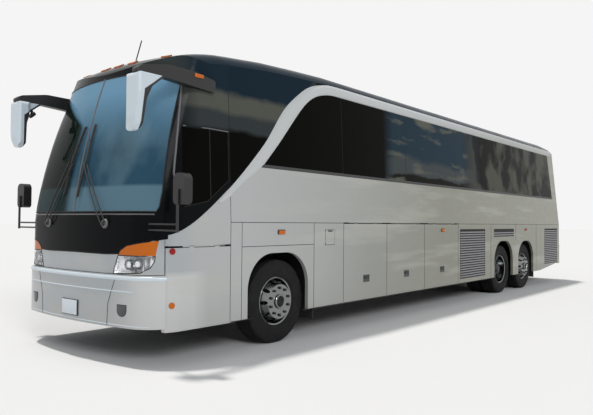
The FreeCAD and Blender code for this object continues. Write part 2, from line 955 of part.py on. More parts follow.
def shrunk(points, inset):
    """An outline drawn in towards its middle by about a gap."""
    mid_a = sum(a for a, b in points) / len(points)
    mid_b = sum(b for a, b in points) / len(points)
    result = []
    for a, b in points:
        reach = math.hypot(a - mid_a, b - mid_b)
        keep = (reach - inset) / reach
        result.append((mid_a + (a - mid_a) * keep, mid_b + (b - mid_b) * keep))
    return result


def flap_hinge():
    """Hinge line above the service flap, along its straight part."""
    y = half_width - hinge_depth
    straight = corner_seam - cap_seam - front_corner_radius / 2
    rear = V(at(cap_seam + straight * hinge_end_share), y, flap_top_z)
    return rear, V(at(cap_seam + straight), y, flap_top_z)


def front_blocks():
    """The front's outer block, the room inside it and the shell between them."""
    low = bumper_bottom - overrun
    brow = brow_drops + ((brow_end, brow_end_drop),)
    crown = crown_block(brow, 0, low - overrun, roof_flare, False)
    crown_in = crown_block(brow, wall, low - 2 * overrun, roof_flare, False)
    outer = nose_whole(0, low, cap_seam + fit_gap).common(crown)
    room = nose_whole(wall, low - overrun, cap_seam - overrun).common(crown_in)
    return outer, room


def keep_off_block():
    """The front's outer block grown by a fit gap, to seat arms and bosses on."""
    brow = brow_drops + ((brow_end, brow_end_drop),)
    low = bumper_bottom - overrun
    crown = crown_block(brow, -fit_gap, low - overrun, roof_flare, False)
    return nose_whole(-fit_gap, low, cap_seam).common(crown)


def front_pieces():
    """Front cap, mask, band, bumper, windscreen, lamps, door and the front of the lower sides."""
    outer, room = front_blocks()
    shell = outer.cut(room)
    reach = at(front_overhang) + overrun
    black = black_side_region().common(black_front_region())
    mask_box = box(at(corner_seam) - wall, reach, -mask_half, mask_half, bumper_bottom, mask_side_z)
    mask_inner = box(at(corner_seam) - wall, reach, -mask_half + fit_gap, mask_half - fit_gap,
                     bumper_bottom, mask_side_z - fit_gap)
    dark = shell.common(black)
    cap = dark.cut(mask_box)
    mask = dark.common(mask_inner)
    glass_shell = nose_whole(0, low_front, cap_seam).cut(nose_whole(glass_thickness, low_front, cap_seam))
    rebate_shell = nose_whole(-overrun, low_front, cap_seam).cut(
        nose_whole(glass_thickness + fit_gap, low_front, cap_seam))
    panes = []
    for side in (1, -1):
        opening = screen_prism(screen_lip, screen_divider)
        seat = screen_prism(-fit_gap, -overrun)
        pane = screen_prism(0, screen_divider / 2)
        if side < 0:
            opening, seat, pane = mirrored(opening), mirrored(seat), mirrored(pane)
        cap = cap.cut(opening).cut(rebate_shell.common(seat))
        panes.append(glass_shell.common(pane))
    cap = cap.cut(driver_window_prism(screen_lip))
    cap = cap.cut(rebate_shell.common(driver_window_prism(-fit_gap)))
    driver_pane = glass_shell.common(driver_window_prism(0))
    door_hole = door_prism(-fit_gap)
    cap = cap.cut(door_hole)
    door = shell.common(door_prism(0))
    low = door_low_z + (door_top_z - door_low_z) * door_glass_low_share
    glass_zone = box(at(door_rear), at(door_front), -half_width - overrun, 0, low, door_top_z)
    door_glass_outer = door_prism(door_frame).common(glass_zone)
    door_hole_inner = door_prism(door_frame + screen_lip).common(
        box(at(door_rear), at(door_front), -half_width - overrun, 0, low + screen_lip, door_top_z))
    door = door.cut(door_hole_inner)
    door = door.cut(rebate_shell.common(door_prism(door_frame - fit_gap).common(
        box(at(door_rear), at(door_front), -half_width - overrun, 0, low - fit_gap, door_top_z))))
    door_pane = glass_shell.common(door_glass_outer)
    silver = shell.cut(black)
    flap_room = []
    for outline in (lamp_outline, turn_outline):
        hole = front_prism(sharp(shrunk(outline, -fit_gap)), at(cap_seam), reach)
        silver = silver.cut(hole).cut(mirrored(hole))
        flap_room.append(front_prism(sharp(shrunk(outline, -2 * door_gap)), at(cap_seam), reach))
    ahead = box(at(corner_seam) + door_gap / 2, reach, -body_width, body_width, bumper_top + band_gap,
                waist_z)
    band = silver.common(ahead)
    bumper = nose_low(-bumper_proud, bumper_bottom, bumper_top, cap_seam).cut(
        nose_low(wall, skirt_z, bumper_top + overrun, cap_seam - overrun))
    bumper = bumper.common(box(at(corner_seam) + door_gap / 2, reach, -body_width, body_width, skirt_z,
                               bumper_top))
    bumper = bumper.cut(plate_holes(nose_x, front_plate_z))
    corner = silver.common(box(at(cap_seam), at(corner_seam) - door_gap / 2, 0, body_width,
                               flap_top_z + hinge_seam, corner_top_z))
    corner = fuse([corner, hinge_rail(*flap_hinge())])
    surround = silver.common(box(at(cap_seam), at(corner_seam) - door_gap / 2, -body_width, 0,
                                 skirt_z, corner_top_z)).cut(door_hole)
    flap = silver.common(box(at(cap_seam) + door_gap / 2, at(corner_seam) - door_gap / 2 - door_gap, 0,
                             body_width,
                            skirt_z, flap_top_z - hinge_seam)).cut(flap_room)
    lens_block = nose_low(0, skirt_z, waist_z, cap_seam).cut(
        nose_low(lamp_depth, skirt_z - overrun, waist_z + overrun, cap_seam - overrun))
    headlamp = lens_block.common(front_prism(sharp(lamp_outline), at(cap_seam), reach))
    turn_lamp = lens_block.common(front_prism(sharp(turn_outline), at(cap_seam), reach))
    cap = fuse([cap, aerial()])
    return {"cap": cap, "mask": mask, "panes": panes, "driver_pane": driver_pane, "door": door,
            "door_pane": door_pane, "band": band, "bumper": bumper, "corner": corner,
            "surround": surround, "flap": flap, "headlamp": headlamp, "turn_lamp": turn_lamp}


def marker_pad(station, y, block, room):
    """A low lamp that follows the brow."""
    half = marker_width / 2
    return block.cut(room).common(box(at(station - marker_size / 2), at(station + marker_size / 2),
                                      y - half, y + half, belt_z, cantrail_z + crown_rise + overrun))


def roof_marker_lamps():
    """Five lamps across the brow."""
    brow = brow_drops + ((brow_end, brow_end_drop),)
    block = crown_block(brow, -marker_height, belt_z, roof_flare, False)
    room = crown_block(brow, -fit_gap, belt_z - overrun, roof_flare, False)
    lamps = []
    for station, y in roof_markers:
        lamps.append(marker_pad(station, y, block, room))
        if y > 0:
            lamps.append(marker_pad(station, -y, block, room))
    return lamps


def side_marker(station):
    """A small lamp on the left side panel."""
    half = side_marker_length / 2
    y = half_width + fit_gap
    return box(at(station - half), at(station + half), y, y + marker_height,
               side_marker_z - side_marker_height, side_marker_z + side_marker_height)


# Mirrors, wipers and aerial

def placed(point):
    """A point given as station, distance to the left of the middle and height."""
    station, y, z = point
    return V(at(station), y, z)


def from_front_axle(corners):
    """Outline corners whose first place is a station, with that place made an x."""
    return [(at(station), other, radius) for station, other, radius in corners]


def mirror_arm():
    """Left arm: a deep box section from the side of the brow forward, curling down over the mirror head."""
    profile = side_prism(from_front_axle(mirror_arm_side), 0, body_width)
    return profile.common(plan_prism(from_front_axle(mirror_arm_plan), belt_z, cantrail_z))


def mirror_head():
    """Left mirror head: a drooping shell whose top runs back under the arm like a hook."""
    profile = side_prism(from_front_axle(mirror_head_side), 0, body_width)
    face = front_prism(mirror_head_front, 0, body_length)
    plan = plan_prism(from_front_axle(mirror_head_plan), belt_z, cantrail_z)
    return profile.common(face).common(plan)


def kerb_mirror():
    """Small round mirror on a stem under the hook of the right head, looking down at the kerb."""
    middle = V(at(kerb_mirror_station), -kerb_mirror_y, kerb_mirror_z)
    tilt = V(-1, 0, -1).normalize()
    head = bar(middle, middle + tilt * kerb_mirror_depth, kerb_mirror_radius)
    stem = bar(middle, V(middle.x, middle.y, kerb_mirror_root_z), kerb_mirror_stem)
    return fuse([head, stem])


def corner_mirror():
    """Left lower mirror: post, two tubes back to the front corner, and the convex head."""
    skin = nose_low(-fit_gap, bumper_bottom, waist_z, cap_seam)
    foot = placed(corner_mirror_post)
    top = V(foot.x, foot.y, corner_mirror_top)
    pieces = [bar(foot - V(0, 0, corner_mirror_tube), top, corner_mirror_tube)]
    for z in corner_mirror_arms:
        pieces.append(bar(V(foot.x, foot.y, z), V(foot.x, mask_half, z), corner_mirror_rod))
    low, top = corner_mirror_rounds
    corners = [(corner_mirror_inner, corner_mirror_low, low), (corner_mirror_outer, corner_mirror_low, low),
               (corner_mirror_outer, corner_mirror_high, top),
               (corner_mirror_inner, corner_mirror_high, top)]
    x0 = at(corner_mirror_front)
    pieces.append(front_prism(corners, x0 - corner_mirror_depth, x0 + corner_mirror_tube))
    return fuse(pieces).cut(skin)


def wiper(outer):
    """Left wiper: pivot boss, arm and upright blade, standing off the glass."""
    y, pivot_z = wiper_pivot

    def front_x(z):
        return nose_at(z) + wiper_standoff - wiper_arm_depth

    base = V(front_x(pivot_z) - wiper_boss_length, y, pivot_z)
    boss = Part.makeCylinder(wiper_boss_radius, wiper_boss_length, base, V(1, 0, 0))
    low = V(front_x(wiper_blade_low), wiper_blade_y, wiper_blade_low)
    middle = V(front_x(wiper_joint_z), wiper_blade_y, wiper_joint_z)
    high = V(front_x(wiper_blade_high), wiper_blade_y, wiper_blade_high)
    arm = bar(V(front_x(pivot_z) - wiper_arm_depth, y, pivot_z), middle, wiper_arm_depth)
    blade = fuse([bar(low, middle, wiper_blade_width / 2), bar(middle, high, wiper_blade_width / 2)])
    return fuse([boss.cut(outer), arm, blade])


# Wheels: profiles of (reach outward from the tyre's middle, radius)

def turned(corners, centre, side):
    """A solid of revolution about a wheel's axis."""
    wire = rounded_wire(corners, lambda reach, radius: V(centre.x, centre.y + side * reach,
                                                         centre.z + radius))
    return Part.Face(wire).revolve(centre, V(0, 1, 0), 360)


def tyre(centre, side):
    """One tyre: beads, bulging walls, rounded shoulders and tread."""
    wall_r = (rim_seat_radius + tyre_radius) / 2
    seat_r = rim_seat_radius + fit_gap
    corners = [(-bead_half_width, seat_r, 0), (-tyre_half_width, wall_r, tyre_wall_round),
               (-tread_half_width, tyre_radius, tyre_shoulder_round),
               (tread_half_width, tyre_radius, tyre_shoulder_round),
               (tyre_half_width, wall_r, tyre_wall_round),
               (bead_half_width, seat_r, 0)]
    return turned(corners, centre, side)


def stud_turn_share(side):
    """Where the first stud stands, as a share of their spacing: half a step on between the two sides."""
    return 1 / 2 if side > 0 else 0


def rim(centre, side, profile, face):
    """A rim with its disc and hub, turned from a profile, and its wheel nuts."""
    bore = spindle_radius + pin_clearance
    corners = [(profile[0][0], bore)] + list(profile) + [(profile[-1][0], bore)]
    pieces = [turned(sharp(corners), centre, side)]
    nut_radius = stud_radius if side > 0 else stud_radius_right
    for i in range(stud_count):
        angle = 2 * math.pi * (i + stud_turn_share(side)) / stud_count
        base = centre + V(stud_circle * math.cos(angle), side * (face - stud_root),
                          stud_circle * math.sin(angle))
        pieces.append(Part.makeCylinder(nut_radius, stud_root + stud_reach, base, V(0, side, 0)))
    return fuse(pieces)


def hand_holes(shape, centre, side):
    """The shape with round hand holes cut through the cone of its disc."""
    for i in range(hand_hole_count):
        angle = 2 * math.pi * (i + 1 / 2 + stud_turn_share(side)) / hand_hole_count
        base = centre + V(hand_hole_circle * math.cos(angle), 0, hand_hole_circle * math.sin(angle))
        shape = shape.cut(Part.makeCylinder(hand_hole_radius, single_face, base, V(0, side, 0)))
    return shape


def wheel_centre(axle_x, side):
    """Middle of the outer tyre of a wheel."""
    return V(axle_x, side * wheel_centre_y, axle_z)


# Steering knuckles and axles

def knuckle(side):
    """Eye round the kingpin, backing plate and spindle."""
    foot = V(front_axle_x, side * kingpin_y, axle_z)
    drop = V(0, 0, knuckle_eye_height / 2)
    eye = bar(foot - drop, foot + drop, knuckle_eye_radius)
    centre = wheel_centre(front_axle_x, side)
    plate_foot = centre - V(0, side * backing_inset, 0)
    spindle = bar(foot, centre + V(0, side * spindle_end, 0), spindle_radius)
    plate = bar(plate_foot, plate_foot + V(0, side * backing_thickness, 0), backing_radius)
    boss = bar(foot, plate_foot, knuckle_eye_radius)
    bore = bar(foot - drop * 2, foot + drop * 2, kingpin_radius + pin_clearance)
    return fuse([eye, spindle, plate, boss]).cut(bore)


def bellows(x, side):
    """Air bellows between an axle and a rail."""
    foot = V(x, side * (rail_y - bellows_radius / 2), bellows_low)
    return Part.makeCylinder(bellows_radius, rail_low - fit_gap - bellows_low, foot)


def front_axle():
    """Beam with a yoke and kingpin at each end, under two air bellows."""
    x0 = front_axle_x - beam_width / 2
    x1 = front_axle_x + beam_width / 2
    low = axle_z - beam_height / 2
    pieces = [box(x0, x1, -beam_half_length, beam_half_length, low, low + beam_height)]
    reach = knuckle_eye_height / 2 + yoke_gap
    drop = V(0, 0, reach + yoke_thickness)
    for side in (1, -1):
        foot = V(front_axle_x, side * kingpin_y, axle_z)
        root = side * (beam_half_length - yoke_length)
        tip = side * (kingpin_y + knuckle_eye_radius / 2)
        pieces.append(bar(foot - drop, foot + drop, kingpin_radius))
        pieces.append(box(x0, x1, root, tip, axle_z + reach, axle_z + drop.z))
        pieces.append(box(x0, x1, root, tip, axle_z - drop.z, axle_z - reach))
        pieces.append(box(x0, x1, root, side * beam_half_length, axle_z - drop.z, axle_z + drop.z))
        pieces.append(bellows(front_axle_x, side))
    return fuse(pieces)


def rear_axle(x, parts):
    """Axle tube made of (end, radius) lengths, with its bellows."""
    pieces = []
    for side in (1, -1):
        for end, radius in parts:
            pieces.append(bar(V(x, 0, axle_z), V(x, side * end, axle_z), radius))
        pieces.append(bellows(x, side))
    return fuse(pieces)


def rear_axles():
    """Drive axle with its differential, and the tag axle."""
    drive = rear_axle(drive_axle_x, ((twin_tube_end, axle_tube_radius),
                                     (twin_sleeve_end, twin_sleeve_radius),
                                     (wheel_centre_y + twin_spindle_end, spindle_radius)))
    drive = drive.fuse(Part.makeSphere(differential_radius, V(drive_axle_x, 0, axle_z)))
    tag = rear_axle(tag_axle_x, ((tag_tube_end, axle_tube_radius),
                                 (wheel_centre_y + spindle_end, spindle_radius)))
    return [drive, tag]


# Underframe and floors

def wheel_well(front_x, rear_x, side):
    """Sheet box over the wheels, open below, to the side and inwards for the axles."""
    outer = side * (half_width - wall - fit_gap)
    inner = side * well_inner_y
    shell = box(front_x + sheet, rear_x - sheet, inner - side * sheet, outer, bay_floor_z, well_top + sheet)
    shell = shell.cut(box(front_x, rear_x, inner, outer, bay_floor_z, well_top))
    return shell.cut(box(front_x, rear_x, inner - side * wall, inner, bay_floor_z, rail_low))


def mudflap(station, side):
    """Rubber flap that hangs behind a wheel."""
    x = at(station)
    outer = half_width - wall - fit_gap
    return box(x, x - 2 * sheet, side * (outer - 2 * tyre_half_width - wall), side * outer, mudflap_bottom,
               well_top)


def bays_and_bulkheads():
    """Luggage floor and the upright walls between the bays."""
    outer = half_width - wall - fit_gap
    clear = outer - 2 * door_gap
    top = deck_z - deck_thickness - fit_gap
    floor_low = bay_floor_z - bay_floor_thickness
    half = bulkhead_thickness / 2
    pieces = []
    for station in bulkhead_stations:
        reach = clear if station in luggage_seams else outer
        pieces.append(box(at(station) - half, at(station) + half, -reach, reach, floor_low, top))
    pieces.append(box(at(luggage_seams[0]), at(luggage_seams[-1]), -clear, clear, floor_low, bay_floor_z))
    pieces.append(box(at(bulkhead_stations[0]), at(luggage_seams[0]), -clear, clear, floor_low,
                      bay_floor_z))
    pieces.append(box(at(luggage_seams[-1]), at(bulkhead_stations[-1]), -clear, clear, floor_low,
                      bay_floor_z))
    return pieces


def rails():
    """Chassis rails and crossbeams of both ends."""
    inner = rail_y
    outer = rail_y + rail_width
    front_end = at(front_overhang)
    beam_x = at(front_beam_station)
    rear_end = tail_body_x + wall + fit_gap
    front = [box(at(bulkhead_stations[0]), front_end, inner, outer, rail_low, rail_high),
             box(at(bulkhead_stations[0]), at(platform_rear) - rail_width / 2, -outer, -inner, rail_low,
                 rail_high),
             box(beam_x - rail_width, front_end, -outer, -inner, rail_low, rail_high)]
    for x in (at(platform_rear) - rail_width / 2, beam_x):
        front.append(box(x, x - rail_width, -outer, outer, rail_low, rail_high))
        front.append(box(x, x - rail_width, platform_right_y, outer, rail_high - sheet,
                         platform_z - deck_thickness - fit_gap))
    room = nose_low(wall + fit_gap, rail_low, platform_z, tag_panel_rear)
    pieces = [fuse(front).common(room)]
    sling_low = engine_low - rail_width - fit_gap
    jack_x = at(jack_station)
    for side in (1, -1):
        pieces.append(box(at(bulkhead_stations[-1]), rear_end, side * inner, side * outer, rail_low,
                          rail_high))
        pieces.append(box(jack_x - jack_pad_length / 2, jack_x + jack_pad_length / 2, side * inner,
                          side * outer,
                          rail_low - jack_pad_height, rail_low))
    for x in (at(engine_front), at(engine_rear) + rail_width):
        pieces.append(box(x, x - rail_width, -outer, outer, sling_low, engine_low - fit_gap))
        for side in (1, -1):
            pieces.append(box(x, x - rail_width, side * inner, side * outer, sling_low, rail_low))
    return pieces


def underframe():
    """Rails, bulkheads, luggage floor, wheel wells and mudflaps in one frame."""
    pieces = bays_and_bulkheads() + rails()
    for side in (1, -1):
        pieces.append(wheel_well(at(well_half_length), at(-well_half_length), side))
        pieces.append(wheel_well(at(bulkhead_stations[-1]), at(tag_panel_rear), side))
        pieces.append(mudflap(mudflap_station, side))
        pieces.append(mudflap(tag_panel_rear + wall, side))
    return fuse(pieces)


def entrance_steps(clear):
    """Steps from the door to the platform, one outline run along the coach."""
    thick = deck_thickness
    rise = (platform_z - step_z) / step_count
    tread = (clear + platform_right_y) / step_count
    outline = [(-clear, step_z - thick), (-clear, step_z)]
    under = []
    for i in range(step_count):
        y = -clear + tread * (i + 1)
        outline += [(y, step_z + rise * i), (y, step_z + rise * (i + 1))]
        under += [(y + thick, step_z - thick + rise * i), (y + thick, step_z - thick + rise * (i + 1))]
    return front_prism(sharp(outline + list(reversed(under))), at(platform_rear) + sheet, at(door_front))


def passenger_floor():
    """Raised deck, driver's platform, the board between them and the entrance steps."""
    clear = half_width - wall - fit_gap - 2 * door_gap
    thick = deck_thickness
    rear_x = at(platform_rear)
    deck = box(rear_x + thick, tail_body_x, -clear, clear, deck_z - thick, deck_z)
    deck = deck.common(tail_low(wall + fit_gap, deck_z - overrun, deck_z + overrun, cap_seam))
    platform = box(rear_x, at(platform_front), platform_right_y, clear, platform_z - thick, platform_z)
    board = box(rear_x, rear_x + thick, platform_right_y, clear, platform_z - thick, deck_z)
    side_board = box(rear_x, rear_x + thick, -clear, platform_right_y, step_z - thick, deck_z)
    low_part = fuse([platform, board, side_board, entrance_steps(clear)])
    room = nose_low(wall + fit_gap, step_z - overrun, deck_z + overrun, platform_rear)
    return fuse([deck, low_part.common(room)])


# Inside the cab and the saloon

def steering_axis():
    """Unit vector up the steering column."""
    tilt = math.radians(steering_tilt)
    return V(-math.sin(tilt), 0, math.cos(tilt))


def steering_wheel():
    """Ring, three spokes and a bored hub."""
    centre = V(at(wheel_hub_station), wheel_hub_y, wheel_hub_z)
    axis = steering_axis()
    ring = Part.makeTorus(steering_ring_radius, steering_tube, centre, axis)
    hub = Part.makeCylinder(steering_hub_radius, steering_hub_height,
                            centre - axis * (steering_hub_height / 2), axis)
    pieces = [ring, hub]
    for angle in spoke_angles:
        out = FreeCAD.Rotation(axis, angle).multVec(V(0, 1, 0).cross(axis))
        pieces.append(bar(centre, centre + out * steering_ring_radius, steering_spoke))
    bore = Part.makeCylinder(shaft_radius + pin_clearance, 2 * steering_hub_height,
                             centre - axis * steering_hub_height, axis)
    return fuse(pieces).cut(bore)


def dashboard():
    """Dash moulding with a binnacle, and the steering column."""
    room = nose_low(wall + fit_gap, dash_low, dash_high, cap_seam)
    dash = box(at(dash_rear), at(front_overhang), dash_right, half_width, dash_low, dash_high).common(room)
    centre_y = wheel_hub_y
    corners = [(at(dash_rear), dash_high - overrun, 0),
               (at(dash_rear) + binnacle_depth, dash_high - overrun, 0),
               (at(dash_rear) + binnacle_depth, binnacle_high - overrun, 0),
               (at(dash_rear) + wall, binnacle_high, binnacle_round)]
    binnacle = side_prism(corners, centre_y - binnacle_half, centre_y + binnacle_half)
    axis = steering_axis()
    centre = V(at(wheel_hub_station), wheel_hub_y, wheel_hub_z)
    top = centre - axis * (steering_hub_height / 2 + door_gap)
    length = (top.z - platform_z) / axis.z
    foot = top - axis * length
    column = bar(foot, top, column_radius)
    shaft = bar(top - axis * column_radius, centre + axis * (steering_hub_height / 2), shaft_radius)
    above = box(at(platform_rear), at(front_overhang), 0, body_width, platform_z + fit_gap, cantrail_z)
    return fuse([dash, binnacle, column.common(above), shaft])


def seat(x, y0, y1, floor_z):
    """One seat: cushion and leaning back in one outline, on a pedestal. x is the back's foot."""
    lean = back_lean
    corners = [(x, floor_z + cushion_low, seat_round), (x + seat_depth, floor_z + cushion_low, seat_round),
               (x + seat_depth, floor_z + cushion_high, seat_round),
               (x + back_thickness, floor_z + cushion_high, 0),
               (x + back_thickness - lean, floor_z + back_height, seat_round),
               (x - lean, floor_z + back_height, seat_round)]
    shell = side_prism(corners, y0, y1)
    middle = (y0 + y1) / 2
    foot = box(x + back_thickness, x + back_thickness + 2 * pedestal, middle - pedestal / 2,
               middle + pedestal / 2,
               floor_z + fit_gap, floor_z + cushion_low + seat_round)
    return shell.fuse(foot)


def seats():
    """Driver's seat and the rows of the saloon."""
    found = [seat(at(driver_seat_station), wheel_hub_y - seat_width / 2, wheel_hub_y + seat_width / 2,
                  platform_z)]
    for row in range(seat_rows):
        x = at(seat_front_station - seat_pitch * row)
        for side in (1, -1):
            for place in (0, 1):
                inner = aisle_half + place * (seat_width + seat_pair_gap)
                found.append(seat(x, side * inner, side * (inner + seat_width), deck_z))
    return found


# Rear of the body

def roof_shell(depth, gap):
    """Crowned roof skin of a depth, down to the eaves or a gap below them."""
    outer = crown_block(roof_drops, 0, belt_z, roof_flare, True)
    inner = crown_block(roof_drops, depth, belt_z - overrun, roof_flare, True)
    points = [(at(station), cantrail_z - drop - gap) for station, drop in roof_drops]
    top = cantrail_z + crown_rise + overrun
    points += [(at(cap_seam), top), (at(roof_drops[0][0]), top)]
    above = side_prism(sharp(points), -body_width, body_width)
    return outer.cut(inner).common(above).common(tail_high(0, cap_seam + overrun, top))


def hatch_curb_ring(station):
    """Raised curb round a roof hatch."""
    x = at(station)
    top = cantrail_z + crown_rise
    half_x = hatch_length / 2
    half_y = hatch_width / 2
    ring = box(x - half_x - overrun, x + half_x + overrun, -half_y - overrun, half_y + overrun,
               top - wall, top + hatch_curb)
    return ring


def roof():
    """Roof skin with curbs round its hatch openings, the hatches' hinge rods and the aerial."""
    pieces = [roof_shell(wall, 0)]
    for station in hatch_stations:
        pieces.append(hatch_curb_ring(station))
        start, end = hatch_hinge(station)
        pieces.append(hinge_rail_down(start, end))
    body = fuse(pieces)
    for station in hatch_stations:
        x = at(station)
        body = body.cut(box(x - hatch_length / 2, x + hatch_length / 2, -hatch_width / 2, hatch_width / 2,
                            cantrail_z, cantrail_z + crown_rise + 2 * wall))
    return body


def hatch_hinge(station):
    """Hinge line along the hatch's front edge."""
    x = at(station) + hatch_length / 2 + overrun / 2
    z = cantrail_z + crown_rise + hatch_curb + hinge_seam
    half = hatch_width / 2
    return V(x, -half, z), V(x, half, z)


def hinge_rail_down(start, end):
    """Fixed rod whose webs stand on the curb below."""
    length = (end - start).Length
    rod = bar(V(0, 0, 0), V(length, 0, 0), hinge_rod_radius)
    web = box(0, length, -hinge_web / 2, hinge_web / 2, -hinge_seam - door_gap, 0)
    reach = knuckle_half(length) + door_gap
    for middle in knuckle_places(length):
        web = web.cut(box(middle - reach, middle + reach, -wall, wall, -wall, wall))
    rail = rod.fuse(web)
    rail.Placement = hinge_frame(start, end)
    return rail


def roof_hatch(station):
    """Flat lid that rests over the curb on its hinge."""
    start, end = hatch_hinge(station)
    x = at(station)
    z0 = start.z - hinge_rod_radius
    half_x = hatch_length / 2 + overrun
    half_y = hatch_width / 2 + overrun
    z1 = z0 + hatch_lid_height / 2
    corners = [(x - half_x, -half_y, overrun), (start.x - hinge_knuckle_radius - door_gap, -half_y, 0),
               (start.x - hinge_knuckle_radius - door_gap, half_y, 0), (x - half_x, half_y, overrun)]
    lid = plan_prism(corners, z0, z1)
    length = (end - start).Length
    knuckles = []
    for middle in knuckle_places(length):
        low = start.y + middle - knuckle_half(length)
        high = start.y + middle + knuckle_half(length)
        knuckles.append(bar(V(start.x, low, start.z), V(start.x, high, start.z), hinge_knuckle_radius))
        knuckles.append(box(start.x - hinge_knuckle_radius - 2 * door_gap, start.x, low, high,
                            start.z - hinge_web / 2, start.z + hinge_web / 2))
    bore = bar(start, end, hinge_rod_radius + pin_clearance)
    return fuse([lid, fuse(knuckles).cut(bore)])


def aerial():
    """Thin rod that leans back from the front of the roof."""
    x = at(aerial_station)
    return bar(V(x, 0, aerial_low_z), V(x - aerial_lean, 0, aerial_high_z), aerial_radius)


def tail_shell(inset):
    """The rear's outer block less the block inside it."""
    top = cantrail_z + crown_rise + overrun
    front = tail_block_front
    outer = tail_low(0, skirt_z, waist_z, front).fuse(tail_high(0, front, top))
    inner = tail_low(inset, skirt_z - overrun, waist_z, front + overrun).fuse(
        tail_high(inset, front + overrun, top + overrun))
    return outer.cut(inner)


def lid_hinge():
    """Hinge line along the top of the engine lid."""
    x = tail_at(lid_high_z) + hinge_depth
    half = lid_half_width * (1 - hinge_end_share)
    return V(x, -half, lid_high_z), V(x, half, lid_high_z)


def rear_pieces():
    """Rear wall, engine lid, rear window, tail lamps and bumper."""
    shell = tail_shell(wall)
    top = cantrail_z + crown_rise + overrun
    upper = box(tail_x, at(tail_block_front) - overrun, -body_width, body_width, rear_bumper_top + fit_gap,
                top)
    crown = crown_block(roof_drops, 0, skirt_z, roof_flare, True)
    wall_piece = shell.common(upper).cut(ahead_of_tail(-fit_gap)).common(crown)
    wall_piece = wall_piece.cut(roof_shell(wall + fit_gap, fit_gap))
    lid_hole = box(tail_x, at(side_rear), -lid_half_width, lid_half_width, rear_bumper_top,
                   lid_high_z + hinge_seam)
    lid_box = box(tail_x, at(side_rear), -lid_half_width + door_gap, lid_half_width - door_gap,
                  lid_low_z, lid_high_z - hinge_seam)
    lid = hung_flap(shell.common(lid_box), *lid_hinge())
    wall_piece = wall_piece.cut(lid_hole)
    wall_piece = fuse([wall_piece, hinge_rail(*lid_hinge())])
    window = box(tail_x, at(side_rear), -rear_window_half, rear_window_half, rear_window_low,
                 rear_window_high)
    hole = box(tail_x, at(side_rear), -rear_window_half + screen_lip, rear_window_half - screen_lip,
               rear_window_low + screen_lip, rear_window_high - screen_lip)
    seat_box = box(tail_x, at(side_rear), -rear_window_half - fit_gap, rear_window_half + fit_gap,
                   rear_window_low - fit_gap, rear_window_high + fit_gap)
    pane = tail_shell(glass_thickness).common(window)
    wall_piece = wall_piece.cut(hole).cut(tail_shell(glass_thickness + fit_gap).common(seat_box))
    lamps = []
    for side in (1, -1):
        lamp_box = box(tail_x, at(side_rear) - overrun, side * tail_lamp_inner, side * tail_lamp_outer,
                       tail_lamp_low, tail_lamp_high)
        lamp_hole = box(tail_x, at(side_rear) - overrun, side * (tail_lamp_inner - fit_gap),
                        side * (tail_lamp_outer + fit_gap), tail_lamp_low - fit_gap,
                        tail_lamp_high + fit_gap)
        block = tail_low(0, skirt_z, waist_z, side_rear).cut(
            tail_low(wall - fit_gap, skirt_z - overrun, waist_z + overrun, side_rear + overrun))
        lamps.append(block.common(lamp_box))
        wall_piece = wall_piece.cut(lamp_hole)
    block = tail_low(0, rear_bumper_low, rear_bumper_top, side_rear - fit_gap)
    block = block.fuse(block.translated(V(-bumper_proud, 0, 0)))
    bumper = block.cut(tail_low(wall, skirt_z, rear_bumper_top + overrun, side_rear + overrun))
    bumper = bumper.cut(plate_holes(tail_body_x, rear_plate_z))
    return {"wall": wall_piece, "lid": lid, "pane": pane, "lamps": lamps, "bumper": bumper}


